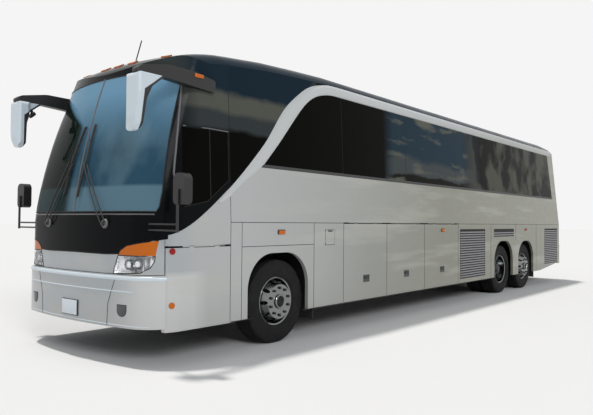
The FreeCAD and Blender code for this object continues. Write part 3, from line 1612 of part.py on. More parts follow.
def build():
    """Make every node and write it."""
    front = front_pieces()
    save("front_cap", [front["cap"]])
    save("front_mask", [front["mask"]])
    save("front_bumper", [front["bumper"], front["band"]])
    save("windscreen", front["panes"])
    left_panes = side_panes(1)
    right_panes = [mirrored(pane) for pane in left_panes]
    save("side_glass", left_panes + right_panes + [front["driver_pane"], front["door_pane"]])
    save("entrance_door", [front["door"]])
    save("headlamps", both(front["headlamp"]))
    ambers = both(front["turn_lamp"]) + roof_marker_lamps() + both(side_marker(side_marker_front))
    save("amber_lamps", ambers)
    left_wall = side_wall(1)
    save("side_wall_left", [left_wall])
    save("side_wall_right", [mirrored(left_wall)])
    trims = side_slab(1, 0, glass_thickness).common(sweep_region(0, half_width + overrun))
    save("sweep_trims", both(trims))
    panels = fixed_panels(1)
    lower = [mirrored(panel) for panel in panels] + [front["corner"], front["surround"]]
    panels[1] = fuse([panels[1].cut(filler_opening()), hinge_rail(*filler_hinge())])
    save("lower_side_panels", panels + lower)
    save("filler_flap", [filler_flap()])
    flap = hung_flap(front["flap"], *flap_hinge())
    save("service_flap", [flap])
    grilles = []
    for louvre in (louvre_large, louvre_small, louvre_rear):
        grilles += both(louvre_pack(louvre, 1))
    save("side_grilles", grilles)
    for side, name in ((1, "left"), (-1, "right")):
        for i, (front_station, rear_station) in enumerate(zip(luggage_seams, luggage_seams[1:])):
            save("luggage_door_" + name + "_" + str(i + 1),
                 [luggage_door(side, front_station, rear_station)])
    save("roof", [roof()])
    rear = rear_pieces()
    save("rear_wall", [rear["wall"]])
    save("engine_lid", [rear["lid"]])
    save("rear_window", [rear["pane"]])
    save("tail_lamps", rear["lamps"] + both(side_marker(side_marker_red)))
    save("rear_bumper", [rear["bumper"]])
    for i, station in enumerate(hatch_stations):
        save("roof_hatch_" + str(i + 1), [roof_hatch(station)])
    body = keep_off_block()
    arm = mirror_arm().cut(body)
    save("mirror_brackets", both(arm) + both(corner_mirror()))
    head = mirror_head()
    save("mirror_heads", [head, fuse([mirrored(head), kerb_mirror()])])
    save("wipers", both(wiper(body)))
    save("underframe", [underframe()])
    save("passenger_floor", [passenger_floor()])
    save("dashboard", [dashboard()])
    save("steering_wheel", [steering_wheel()])
    save("seats", seats())
    save("engine", [box(at(engine_front), at(engine_rear), -engine_half, engine_half, engine_low,
                        engine_high)])
    save("front_axle", [front_axle()])
    save("rear_axles", rear_axles())
    for side, name in ((1, "left"), (-1, "right")):
        save("knuckle_" + name, [knuckle(side)])
        front_centre = wheel_centre(front_axle_x, side)
        save("tyre_front_" + name, [tyre(front_centre, side)])
        front_rim = rim(front_centre, side, single_profile, single_face)
        save("rim_front_" + name, [hand_holes(front_rim, front_centre, side)])
        drive_centre = wheel_centre(drive_axle_x, side)
        inner_centre = drive_centre - V(0, side * twin_spacing, 0)
        save("tyres_drive_" + name, [tyre(drive_centre, side), tyre(inner_centre, side)])
        save("rim_drive_" + name, [rim(drive_centre, side, twin_profile, twin_face)])
        tag_centre = wheel_centre(tag_axle_x, side)
        save("tyre_tag_" + name, [tyre(tag_centre, side)])
        tag_rim = rim(tag_centre, side, single_profile, single_face)
        save("rim_tag_" + name, [hand_holes(tag_rim, tag_centre, side)])


build()
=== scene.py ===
import bmesh
import bpy
import math
from mathutils import Matrix, Vector


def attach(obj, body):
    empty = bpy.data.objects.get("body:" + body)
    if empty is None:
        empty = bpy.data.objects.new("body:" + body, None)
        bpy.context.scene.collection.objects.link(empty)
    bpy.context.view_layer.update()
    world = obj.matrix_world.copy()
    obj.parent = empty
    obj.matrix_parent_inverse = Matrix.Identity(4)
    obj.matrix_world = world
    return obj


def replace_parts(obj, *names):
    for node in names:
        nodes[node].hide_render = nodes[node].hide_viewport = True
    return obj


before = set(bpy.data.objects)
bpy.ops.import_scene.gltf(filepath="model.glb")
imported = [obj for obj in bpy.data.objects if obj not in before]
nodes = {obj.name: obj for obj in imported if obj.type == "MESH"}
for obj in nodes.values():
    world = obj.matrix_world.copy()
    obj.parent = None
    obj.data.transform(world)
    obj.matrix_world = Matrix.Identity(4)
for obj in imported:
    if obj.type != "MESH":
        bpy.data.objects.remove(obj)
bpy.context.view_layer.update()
bpy.ops.object.select_all(action="DESELECT")

FRONT_AXLE = 4.7305
HALF = 1.295


def at(station):
    """Place along the body of a station, counted from the front axle."""
    return FRONT_AXLE + station


# Camera, as the photograph was taken

CAMERA_SPOT = (10.4455, 6.227, 1.496)
CAMERA_TURN = (-140.555, 1.392, 0.48)
CAMERA_LENS = 36.954


def set_camera():
    yaw, pitch, roll = (math.radians(angle) for angle in CAMERA_TURN)
    ahead = Vector((math.cos(pitch) * math.cos(yaw), math.cos(pitch) * math.sin(yaw), math.sin(pitch)))
    right = ahead.cross(Vector((0, 0, 1))).normalized()
    up = right.cross(ahead)
    level = right * math.cos(roll) + up * math.sin(roll)
    upright = up * math.cos(roll) - right * math.sin(roll)
    camera = bpy.data.objects.new("photo_camera", bpy.data.cameras.new("photo_camera"))
    bpy.context.scene.collection.objects.link(camera)
    turn = Matrix((level, upright, -ahead)).transposed().to_4x4()
    camera.matrix_world = Matrix.Translation(Vector(CAMERA_SPOT)) @ turn
    camera.data.sensor_width = 36
    camera.data.lens = CAMERA_LENS
    camera.data.clip_end = 500
    bpy.context.scene.camera = camera


set_camera()
bpy.context.scene.view_settings.view_transform = "Standard"


# Materials

class Finish:
    """A material being built: its nodes, links and shader."""

    def __init__(self, name, colour, rough, metal=0.0, **sockets):
        self.material = bpy.data.materials.new(name)
        self.material.use_nodes = True
        self.tree = self.material.node_tree
        self.shader = self.tree.nodes["Principled BSDF"]
        self.colour = (*colour, 1)
        self.fill(self.shader, Base_Color=self.colour, Roughness=rough, Metallic=metal, **sockets)
        self.place = self.tree.nodes.new("ShaderNodeTexCoord").outputs["Object"]

    def feed(self, socket, value):
        """Link an output to a socket, or set a plain value there."""
        if isinstance(value, bpy.types.NodeSocket):
            self.tree.links.new(value, socket)
        else:
            socket.default_value = value

    def fill(self, node, **inputs):
        for key, value in inputs.items():
            self.feed(node.inputs[key.replace("_", " ")], value)

    def node(self, kind, **inputs):
        node = self.tree.nodes.new("ShaderNode" + kind)
        self.fill(node, **inputs)
        return node

    def noise(self, scale, detail=3.0, stretch=(1, 1, 1)):
        mapping = self.node("Mapping", Scale=stretch, Vector=self.place)
        place = mapping.outputs["Vector"]
        return self.node("TexNoise", Scale=scale, Detail=detail, Vector=place).outputs["Fac"]

    def spread(self, value, low, high, to_low=0.0, to_high=1.0):
        """A range of values stretched over another."""
        return self.node("MapRange", Value=value, From_Min=low, From_Max=high, To_Min=to_low,
                         To_Max=to_high).outputs["Result"]

    def along(self, low, high):
        """Share that grows from one place to another along the body."""
        return self.spread(self.coordinate("X"), low, high)

    def up(self, low, high, to_low=0.0, to_high=1.0):
        """Share that grows from one height to another."""
        return self.spread(self.coordinate("Z"), low, high, to_low, to_high)

    def coordinate(self, axis):
        return self.node("SeparateXYZ", Vector=self.place).outputs[axis]

    def maths(self, operation, *values):
        node = self.node("Math")
        node.operation = operation
        for socket, value in zip(node.inputs, values):
            self.feed(socket, value)
        return node.outputs["Value"]

    def both(self, first, second):
        return self.maths("MULTIPLY", first, second)

    def tint(self, share, colour):
        """Turn the base colour towards another by a share."""
        node = self.node("Mix")
        node.data_type = "RGBA"
        base = self.shader.inputs["Base Color"]
        under = base.links[0].from_socket if base.is_linked else self.colour
        self.fill(node, A=under, B=(*colour, 1), Factor=share)
        self.feed(base, node.outputs["Result"])
        return self

    def stain_and_reflection(self, colour, low, high, most, scale, detail, stretch=(1, 1, 1)):
        """Patches of a colour where a noise runs high."""
        return self.tint(self.spread(self.noise(scale, detail, stretch), low, high, 0.0, most), colour)

    def roughen(self, scale, low, high):
        """Let the roughness wander between two values."""
        self.fill(self.shader, Roughness=self.spread(self.noise(scale), 0.3, 0.7, low, high))
        return self

    def bump(self, value, strength, distance):
        node = self.node("Bump", Strength=strength, Distance=distance, Height=value)
        self.fill(self.shader, Normal=node.outputs["Normal"])
        return self

    def grain(self, scale, detail, strength, distance):
        """A fine relief from a noise."""
        return self.bump(self.noise(scale, detail), strength, distance)


def silver_paint():
    finish = Finish("silver_paint", (0.445, 0.458, 0.457), 0.36, 0.12, Coat_Weight=0.25, Coat_Roughness=0.12)
    # Painted shade: the sides grow darker and warmer towards the rear.
    finish.tint(finish.along(5.4, 0.2), (0.222, 0.224, 0.176))
    # Painted shade: the front end darker and bluer than the sides.
    finish.tint(finish.along(6.05, 6.45), (0.385, 0.412, 0.428))
    # Painted highlight: the bumper's front corners lighter below its top.
    sideways = finish.maths("ABSOLUTE", finish.coordinate("Y"))
    corner = finish.both(finish.spread(sideways, 0.70, 1.10), finish.up(0.98, 0.92))
    finish.tint(finish.both(corner, finish.along(5.95, 6.15)), (0.56, 0.57, 0.57))
    # Painted shade: the side darker below the waist towards the rear.
    below = finish.both(finish.up(1.47, 1.42, 0.0, 0.22), finish.along(3.9, 2.7))
    finish.tint(below, (0.135, 0.140, 0.110))
    finish.stain_and_reflection((0.50, 0.50, 0.44), 0.52, 0.68, 0.3, 1.2, 5, (0.5, 1, 4))
    # Painted shade: darker and warmer towards the bottom of the sides and bumper.
    finish.tint(finish.up(0.36, 0.80, 0.25, 0.0), (0.34, 0.33, 0.29))
    return finish.roughen(7, 0.32, 0.42).material


def moulding_trim():
    finish = Finish("moulding_trim", (0.52, 0.545, 0.55), 0.34, 0.12, Coat_Weight=0.3, Coat_Roughness=0.12)
    # Painted shade: the moulding darker towards the rear.
    finish.tint(finish.along(2.5, -3.5), (0.36, 0.375, 0.37))
    return finish.roughen(6, 0.30, 0.40).material


def painted_sky_reflection(finish, share):
    """Painted reflection: tones of cloud and sky on the glossy black quarter, by height."""
    level = finish.maths("MULTIPLY_ADD", finish.noise(1.1, 5, (1, 1, 1.5)), 0.30, finish.coordinate("Z"))
    for low, high, colour in ((2.64, 2.70, (0.036, 0.043, 0.045)), (2.86, 2.93, (0.088, 0.092, 0.078)),
                              (3.08, 3.15, (0.010, 0.022, 0.034))):
        finish.tint(finish.both(finish.spread(level, low, high), share), colour)


def black_paint():
    finish = Finish("black_paint", (0.0045, 0.0050, 0.0058), 0.12, 0.0, Specular_IOR_Level=0.04)
    # Painted reflection: sky and cloud tones on the black behind the front face.
    painted_sky_reflection(finish, finish.along(6.35, 6.05))
    return finish.roughen(5, 0.08, 0.2).material


def tinted_glass():
    finish = Finish("tinted_glass", (0.0024, 0.0023, 0.0018), 0.03, 0.0, Specular_IOR_Level=0.022)
    # Painted reflection: a bluish sky tone on the middle panes.
    middle = finish.both(finish.along(2.25, 1.95), finish.along(-1.5, -0.6))
    finish.tint(middle, (0.017, 0.036, 0.054))
    # Painted reflection: a pale grey band on the middle panes, dark again lower down.
    reflection_level = finish.maths("MULTIPLY_ADD", finish.noise(0.9, 5, (1, 1, 1.4)), 0.5, finish.coordinate("Z"))
    finish.tint(finish.both(finish.spread(reflection_level, 2.86, 2.76, 0.0, 0.85), middle), (0.062, 0.070, 0.070))
    finish.tint(finish.both(finish.spread(reflection_level, 2.54, 2.50), middle), (0.007, 0.007, 0.005))
    # Painted reflection: pale cloud patches on the middle panes.
    cloud = finish.spread(finish.noise(1.5, 5, (0.7, 1, 3.2)), 0.56, 0.66, 0.0, 0.85)
    finish.tint(finish.both(cloud, middle), (0.120, 0.125, 0.100))
    # Painted reflection: pale patches on the rear panes.
    patch = finish.spread(finish.noise(1.3, 6, (1.6, 1, 1.2)), 0.46, 0.60)
    finish.tint(finish.both(patch, finish.along(-0.7, -1.5)), (0.070, 0.072, 0.056))
    # Painted reflection: sky and cloud tones on the front side glass by the pillar.
    slant = finish.maths("MULTIPLY_ADD", finish.coordinate("Z"), 1.06, finish.coordinate("X"))
    painted_sky_reflection(finish, finish.spread(slant, 7.50, 7.62))
    return finish.roughen(2, 0.015, 0.05).material


def screen_glass():
    finish = Finish("screen_glass", (0.034, 0.094, 0.148), 0.02, 0.0, Transmission_Weight=0.25, IOR=1.12,
                    Specular_IOR_Level=0.2)
    # Painted reflection: the sky's blue grows towards the top, with lighter cloud patches.
    finish.tint(finish.up(2.25, 2.95), (0.185, 0.375, 0.540))
    finish.stain_and_reflection((0.24, 0.38, 0.46), 0.50, 0.68, 0.35, 1.6, 4, (1, 1, 0.6))
    # Painted reflection: a lighter band along the foot of the screen.
    finish.tint(finish.up(1.885, 1.850), (0.130, 0.235, 0.305))
    # Painted reflection: a dark patch low on the right pane, and the foot band darker towards the right.
    side = finish.coordinate("Y")
    slant = finish.maths("MULTIPLY_ADD", side, 0.578, finish.coordinate("Z"))
    corner = finish.both(finish.spread(side, -0.12, -0.24), finish.spread(slant, 2.51, 2.45))
    finish.tint(corner, (0.006, 0.013, 0.010))
    finish.tint(finish.both(finish.up(1.885, 1.855), finish.spread(side, 0.0, -0.5)), (0.024, 0.050, 0.055))
    return finish.material


def rubber(name, grey, rough):
    finish = Finish(name, (grey, grey, grey * 1.03), rough, Specular_IOR_Level=0.25)
    return finish.grain(260, 5, 0.25, 0.0008).stain_and_reflection((0.030, 0.028, 0.025), 0.45, 0.75, 0.3, 9, 6).material


def matte(name, grey, rough):
    return Finish(name, (grey, grey, grey * 1.05), rough).grain(500, 3, 0.15, 0.0005).material


def lens(name, colour):
    """A coloured cover with fine ribs."""
    finish = Finish(name, colour, 0.08, Coat_Weight=0.12, Coat_Roughness=0.02, Transmission_Weight=0.10,
                    Specular_IOR_Level=0.15)
    ribs = finish.node("TexWave", Scale=55, Vector=finish.place)
    return finish.bump(ribs.outputs["Fac"], 0.3, 0.001).material


def wheel_steel(name, colour, rough):
    return Finish(name, colour, rough, 0.8).stain_and_reflection((0.035, 0.030, 0.026), 0.45, 0.7, 0.6, 70, 5).material


SILVER = silver_paint()
# Silver trim, also used for painted highlight strips on the bumper.
TRIM_AND_HIGHLIGHT = Finish("silver_trim", (0.60, 0.68, 0.74), 0.36, 0.12, Coat_Weight=0.3,
              Coat_Roughness=0.12).roughen(6, 0.30, 0.42).material
MOULD = moulding_trim()
BLACK = black_paint()
ROOF = Finish("roof_paint", (0.009, 0.020, 0.031), 0.2,
              Specular_IOR_Level=0.05).roughen(3, 0.16, 0.3).material
TINT = tinted_glass()
SCREEN = screen_glass()
TYRE = rubber("tyre_rubber", 0.006, 0.8)
RUBBER = rubber("seal_rubber", 0.006, 0.6)
RIM = Finish("polished_rim", (0.22, 0.23, 0.23), 0.16, 1.0).roughen(40, 0.09, 0.22).stain_and_reflection(
    (0.20, 0.17, 0.14), 0.55, 0.75, 0.4, 24, 6).material
CHASSIS = Finish("chassis_paint", (0.018, 0.018, 0.019), 0.6).stain_and_reflection(
    (0.07, 0.062, 0.052), 0.45, 0.8, 0.5, 6, 6).grain(120, 4, 0.2, 0.001).material
PLASTIC = matte("matte_black", 0.012, 0.45)
AMBER = lens("amber_lens", (0.62, 0.145, 0.004))
RED = lens("red_lens", (0.35, 0.010, 0.008))
CLEAR = Finish("clear_lens", (0.93, 0.95, 0.96), 0.02, Transmission_Weight=1.0, IOR=1.2, Alpha=0.35).material
FABRIC = Finish("seat_fabric", (0.030, 0.045, 0.095), 0.85, Sheen_Weight=0.3).grain(
    320, 2, 0.4, 0.0012).stain_and_reflection((0.10, 0.11, 0.16), 0.5, 0.62, 0.6, 30, 2).material
FLOOR = Finish("floor_covering", (0.045, 0.047, 0.052), 0.7).stain_and_reflection(
    (0.12, 0.12, 0.13), 0.55, 0.65, 0.6, 220, 2).grain(300, 2, 0.2, 0.0006).material
DASH = matte("dash_moulding", 0.035, 0.55)
CAST = Finish("cast_block", (0.09, 0.092, 0.095), 0.65, 0.5).grain(90, 6, 0.4, 0.002).material
LOUVRE = Finish("louvre_paint", (0.36, 0.35, 0.31), 0.4, 0.3, Coat_Weight=0.2).stain_and_reflection(
    (0.16, 0.145, 0.12), 0.45, 0.7, 0.4, 18, 5).material
STEEL = wheel_steel("nut_steel", (0.055, 0.055, 0.060), 0.4)
GREASE = wheel_steel("hub_grease", (0.018, 0.017, 0.016), 0.5)
REFLECTOR = Finish("reflector_chrome", (0.86, 0.87, 0.88), 0.22, 0.75).grain(45, 2, 0.35, 0.004).material
GLOW = Finish("lamp_glass", (0.90, 0.93, 0.96), 0.12, Coat_Weight=1.0).roughen(60, 0.05, 0.2).material
MIRROR = Finish("mirror_glass", (0.85, 0.88, 0.90), 0.03, 1.0).roughen(8, 0.02, 0.05).material
PLATE = Finish("plate_paint", (0.62, 0.68, 0.74), 0.35, 0.3, Coat_Weight=0.3).stain_and_reflection(
    (0.42, 0.44, 0.45), 0.5, 0.8, 0.35, 30, 4).material
GREY_TRIM = matte("grey_trim", 0.11, 0.4)
SLAT = matte("slat_silver", 0.23, 0.4)
BELT = matte("belt_strip", 0.028, 0.5)
LATCH = matte("latch_cup", 0.055, 0.5)
SMOKE = lens("smoke_lens", (0.09, 0.10, 0.10))


# What each node wears, by how its name begins; the later line counts

WEARS = {
    "underframe": CHASSIS, "passenger_floor": FLOOR, "side_wall": SILVER, "lower_side_panels": SILVER,
    "roof": ROOF, "front_cap": BLACK, "front_mask": BLACK, "front_bumper": SILVER, "rear_wall": SILVER,
    "rear_bumper": SILVER, "windscreen": SCREEN, "side_glass": TINT, "rear_window": TINT,
    "headlamps": CLEAR, "amber_lamps": AMBER, "tail_lamps": RED, "side_grilles": LOUVRE,
    "sweep_trims": MOULD, "mirror_brackets": PLASTIC, "mirror_heads": TRIM_AND_HIGHLIGHT, "wipers": PLASTIC,
    "dashboard": DASH, "seats": FABRIC, "entrance_door": BLACK, "front_axle": CHASSIS,
    "rear_axles": CHASSIS, "engine": CAST, "steering_wheel": PLASTIC, "service_flap": SILVER,
    "filler_flap": SILVER, "engine_lid": SILVER, "knuckle": CHASSIS, "tyre": TYRE, "rim": RIM,
    "luggage_door": SILVER,
}
for stem, finish in WEARS.items():
    for name, node in nodes.items():
        if name.startswith(stem):
            for slot in node.material_slots:
                slot.material = finish


# Modelling by hand: a primitive is added, shaped in edit mode and finished

MESH = bpy.ops.mesh
MOVE = bpy.ops.transform
OBJECT = bpy.ops.object
ORIGIN = (0, 0, 0)
AHEAD = Vector((1, 0, 0))
SIDES = (("left", 1), ("right", -1))


def named(name):
    """The active piece, given a name."""
    piece = bpy.context.object
    piece.name = name
    piece.data.name = name
    return piece


def alone(piece):
    """Make a piece the active one, and the only one selected."""
    OBJECT.select_all(action="DESELECT")
    piece.select_set(True)
    bpy.context.view_layer.objects.active = piece


def opened():
    """Open the active piece in edit mode, all of it selected."""
    OBJECT.mode_set(mode="EDIT")
    MESH.select_mode(type="VERT")
    MESH.select_all(action="SELECT")


def begin(name, primitive, **sizes):
    """Add a primitive and open it."""
    OBJECT.select_all(action="DESELECT")
    primitive(**sizes)
    piece = named(name)
    OBJECT.transform_apply()
    opened()
    return piece


def block(name, location, scale):
    """A cube of the given edges, open in edit mode."""
    return begin(name, MESH.primitive_cube_add, size=1, location=location, scale=scale)


def taken(node, name):
    """A copy of a node's mesh, its loose triangles merged, open in edit mode."""
    piece = bpy.data.objects.new(name, nodes[node].data.copy())
    piece.data.name = name
    bpy.context.scene.collection.objects.link(piece)
    alone(piece)
    opened()
    MESH.remove_doubles(threshold=1e-5)
    return piece


def pick(piece, kind, test):
    """Select the vertices, edges or faces that pass a test."""
    MESH.select_mode(type=kind)
    MESH.select_all(action="DESELECT")
    shape = bmesh.from_edit_mesh(piece.data)
    shape.normal_update()
    parts = {"VERT": shape.verts, "EDGE": shape.edges, "FACE": shape.faces}[kind]
    for part in parts:
        if test(part):
            part.select_set(True)
    shape.select_flush_mode()
    bmesh.update_edit_mesh(piece.data)


def pick_outer(piece):
    """Select the faces that look out of the left side."""
    pick(piece, "FACE", lambda face: face.normal.y > 0.9)


def run_out(value):
    """Extrude the selected region by a vector."""
    MESH.extrude_region_move(TRANSFORM_OT_translate={"value": value})


def chain(name, points, ring=False):
    """A row of edges through points, extruded one from the next."""
    piece = begin(name, MESH.primitive_plane_add, size=0.01)
    MESH.merge(type="CENTER")
    MOVE.translate(value=points[0])
    for here, there in zip(points, points[1:]):
        MESH.extrude_vertices_move(TRANSFORM_OT_translate={"value": Vector(there) - Vector(here)})
    if ring:
        ends = (Vector(points[0]), Vector(points[-1]))
        pick(piece, "VERT", lambda vertex: min((vertex.co - end).length for end in ends) < 1e-6)
        MESH.edge_face_add()
    MESH.select_all(action="SELECT")
    return piece


def outward():
    """Merge what coincides and turn every face outwards."""
    MESH.select_mode(type="VERT")
    MESH.select_all(action="SELECT")
    MESH.remove_doubles(threshold=1e-5)
    MESH.normals_make_consistent(inside=False)


def shaped(piece, kind, **settings):
    """Apply one modifier."""
    if piece.mode == "EDIT":
        OBJECT.mode_set(mode="OBJECT")
    tool = piece.modifiers.new(kind.lower(), kind)
    for key, value in settings.items():
        setattr(tool, key, value)
    bpy.context.view_layer.objects.active = piece
    OBJECT.modifier_apply(modifier=tool.name)


def eased(piece, width, segments=2):
    """Bevel the sharp edges."""
    shaped(piece, "BEVEL", width=width, segments=segments, limit_method="ANGLE")


def repeated(piece, count, step):
    """The piece in a row, a step apart."""
    shaped(piece, "ARRAY", count=count, use_relative_offset=False, use_constant_offset=True,
           constant_offset_displace=step)


def done(piece, finish, slot, body="root", angle=32):
    """Shade and paint a piece and hang it on its body."""
    if piece.mode == "EDIT":
        OBJECT.mode_set(mode="OBJECT")
    alone(piece)
    OBJECT.shade_smooth_by_angle(angle=math.radians(angle))
    piece.data.materials.clear()
    piece.data.materials.append(finish)
    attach(piece, body)
    OBJECT.select_all(action="DESELECT")
    return piece


def again(piece, name, body, shift=ORIGIN, across=False):
    """A copy with its own mesh, moved along or put on the other side."""
    alone(piece)
    OBJECT.duplicate()
    copy = named(name)
    opened()
    MOVE.translate(value=shift)
    if across:
        MOVE.resize(value=(1, -1, 1), center_override=ORIGIN)
        MESH.flip_normals()
    OBJECT.mode_set(mode="OBJECT")
    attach(copy, body)
    OBJECT.select_all(action="DESELECT")
    return copy


def both_sides(piece, body="root"):
    """The piece's twin on the right."""
    name = piece.name.replace("left", "right")
    return again(piece, name, body.replace("left", "right"), across=True)


def turned(name, profile, place, centre, axis, steps):
    """A profile spun about an axis; place makes a point of (along, radius)."""
    piece = chain(name, [place(along, radius) for along, radius in profile], ring=True)
    MESH.spin(steps=steps, angle=math.tau, center=centre, axis=axis)
    outward()
    return piece


def turned_on(name, profile, spot, out, steps):
    """A profile spun about a level line out of a spot."""
    def place(along, reach):
        return spot + out * along + Vector((0, 0, reach))

    return turned(name, profile, place, spot, out, steps)


def rod(name, points, radius, sides=2):
    """A round rod along points, with closed ends."""
    chain(name, points)
    OBJECT.mode_set(mode="OBJECT")
    OBJECT.convert(target="CURVE")
    piece = bpy.context.object
    piece.data.bevel_depth = radius
    piece.data.bevel_resolution = sides
    piece.data.use_fill_caps = True
    OBJECT.convert(target="MESH")
    return bpy.context.object


def joined(name, pieces):
    """Several pieces made one."""
    OBJECT.select_all(action="DESELECT")
    for piece in pieces:
        piece.select_set(True)
    bpy.context.view_layer.objects.active = pieces[0]
    OBJECT.join()
    return named(name)


def slab(name, outline, back, bevel=0.002):
    """A flat or curved plate: a ring filled, run back by a vector, its edges bevelled."""
    piece = chain(name, outline, ring=True)
    MESH.edge_face_add()
    run_out(back)
    outward()
    eased(piece, bevel)
    return piece


# The body's outer surface: upright to the waist, leaning in above it, the front crowned with round corners

WAIST_Z = 1.490
UPPER_HEIGHT = 1.910
WALL_LEAN = 0.086
TAIL_X = -6.8755
TAIL_LEAN = 0.350
NOSE_REACH = 2.060
NOSE_FOOT_Z = 1.350
NOSE_RAKE = 0.440
CORNER_RADIUS = 0.4


def half_at(z):
    """Half of the body's width at a height."""
    return HALF - WALL_LEAN * max(0, z - WAIST_Z) / UPPER_HEIGHT


def nose_arcs(z, proud):
    """Centre, radius and corner of the front's outline in plan at a height."""
    level = max(z, WAIST_Z)
    half = half_at(level) + proud
    crown = 6.5 - 3.3 * min(1, max(0, level - NOSE_FOOT_Z) / 1.550) + proud
    corner = CORNER_RADIUS + proud
    middle = at(NOSE_REACH) - NOSE_RAKE * ((level - NOSE_FOOT_Z) / 1.950) ** 1.6 + proud - crown
    corner_y = half - corner
    corner_x = middle + math.sqrt((crown - corner) ** 2 - corner_y ** 2)
    return middle, crown, corner, corner_x, corner_y


def nose_normal(y, z):
    """Level direction out of the front at a point."""
    middle, crown, corner, corner_x, corner_y = nose_arcs(z, 0.0)
    turn = math.atan2(corner_y, corner_x - middle)
    reach = abs(y)
    if reach <= crown * math.sin(turn):
        angle = math.asin(reach / crown)
    else:
        angle = math.asin(min(1, (reach - corner_y) / corner))
    return Vector((math.cos(angle), math.copysign(math.sin(angle), y), 0))


def nose_point(y, z, proud=0.0):
    """A point of the front, stood off by a distance."""
    middle, crown, corner, corner_x, corner_y = nose_arcs(z, proud)
    turn = math.atan2(corner_y, corner_x - middle)
    reach = abs(y)
    if reach <= crown * math.sin(turn):
        return Vector((middle + math.sqrt(crown ** 2 - y ** 2), y, z))
    return Vector((corner_x + math.sqrt(max(0, corner ** 2 - (reach - corner_y) ** 2)), y, z))


def wall_point(station, z, proud=0.0):
    """A point of the left side, on the round corner too."""
    corner, corner_x, corner_y = nose_arcs(z, 0)[2:]
    along = min(max(0, at(station) - corner_x), corner)
    if along == 0:
        return Vector((at(station), half_at(z) + proud, z))
    out = Vector((along, math.sqrt(corner ** 2 - along ** 2), 0)) / corner
    return Vector((corner_x, corner_y, z)) + out * (corner + proud)


def tail_x(z):
    """The rear face at a height."""
    return TAIL_X + TAIL_LEAN * max(0, z - WAIST_Z) / UPPER_HEIGHT


def finely(points, step):
    """The same line with a point at least every step."""
    line = [points[0]]
    for here, there in zip(points, points[1:]):
        count = max(1, round(math.dist(here, there) / step))
        for i in range(1, count + 1):
            share = i / count
            line.append(tuple(a + (b - a) * share for a, b in zip(here, there)))
    return line


def smooth_line(points, count):
    """Points along a smooth curve through points."""
    line = []
    last = len(points) - 1
    for i in range(count + 1):
        place = i / count * last
        k = min(int(place), last - 1)
        t = place - k
        p0, p1, p2, p3 = (points[max(0, min(last, k + j))] for j in (-1, 0, 1, 2))
        line.append(tuple(0.5 * (2 * b + (c - a) * t + (2 * a - 5 * b + 4 * c - d) * t * t
                                 + (3 * b - a - 3 * c + d) * t ** 3) for a, b, c, d in zip(p0, p1, p2, p3)))
    return line


def nose_line(points, proud, step=0.08):
    """A fine line on the front through (y, z) points."""
    return [nose_point(y, z, proud) for y, z in finely(points, step)]


def nose_rod(name, points, proud, radius, finish, slot="trim_black", step=0.08, sides=2):
    """A strip on the front."""
    return done(rod(name, nose_line(points, proud, step), radius, sides=sides), finish, slot, "root", 60)


def flipped(points, sign):
    """(y, z) points of the left side, put on either side."""
    return [(sign * y, z) for y, z in points]


def surface(name, rows, thickness, facing):
    """A skin through rows of points, a given thickness inwards."""
    strips = []
    for points in rows:
        strips.append(chain("row", points))
        OBJECT.mode_set(mode="OBJECT")
    piece = joined(name, strips)
    OBJECT.mode_set(mode="EDIT")
    MESH.select_mode(type="EDGE")
    MESH.select_all(action="SELECT")
    MESH.bridge_edge_loops(type="SINGLE")
    outward()
    shape = bmesh.from_edit_mesh(piece.data)
    if sum(face.normal.dot(Vector(facing)) for face in shape.faces) < 0:
        MESH.flip_normals()
    shaped(piece, "SOLIDIFY", thickness=thickness, offset=-1)
    return piece


# Wheels

AXLE_Z = 0.515
WHEEL_Y = 1.075
TWIN_GAP = 0.330
DRIVE_STATION = -7.390
TAG_STATION = -8.780
FACE_REACH = 0.190
NUT_CIRCLE = 0.1675
NUT_COUNT = 10
TYRE_HALF = ((0.0, 0.515), (0.030, 0.515), (0.033, 0.502), (0.041, 0.502), (0.044, 0.515), (0.080, 0.5145),
             (0.083, 0.501), (0.091, 0.501), (0.094, 0.514), (0.120, 0.512), (0.132, 0.506), (0.139, 0.494),
             (0.1415, 0.472), (0.1435, 0.470), (0.147, 0.445), (0.149, 0.415), (0.1485, 0.385),
             (0.145, 0.352), (0.1465, 0.349), (0.141, 0.327), (0.131, 0.309), (0.120, 0.300),
             (0.113, 0.290), (0.100, 0.300))
HUB_RING = ((0.196, 0.090), (0.206, 0.089), (0.211, 0.084), (0.211, 0.072), (0.205, 0.067), (0.196, 0.066))
HUB_CUP = ((0.2004, 0.0), (0.2004, 0.068), (0.203, 0.068), (0.2025, 0.052), (0.206, 0.048), (0.206, 0.030),
           (0.2025, 0.026), (0.2025, 0.0))
HUB_DRUM = ((0.072, 0.0), (0.072, 0.112), (0.080, 0.110), (0.083, 0.104), (0.083, 0.078), (0.098, 0.070),
            (0.102, 0.060), (0.102, 0.0))


def wheel_turned(name, profile, station, steps):
    """A profile of (reach outwards, radius) spun about a left wheel's axle."""
    x = at(station)
    return turned(name, profile, lambda reach, radius: (x, WHEEL_Y + reach, AXLE_Z + radius),
                  (x, WHEEL_Y, AXLE_Z), (0, 1, 0), steps)


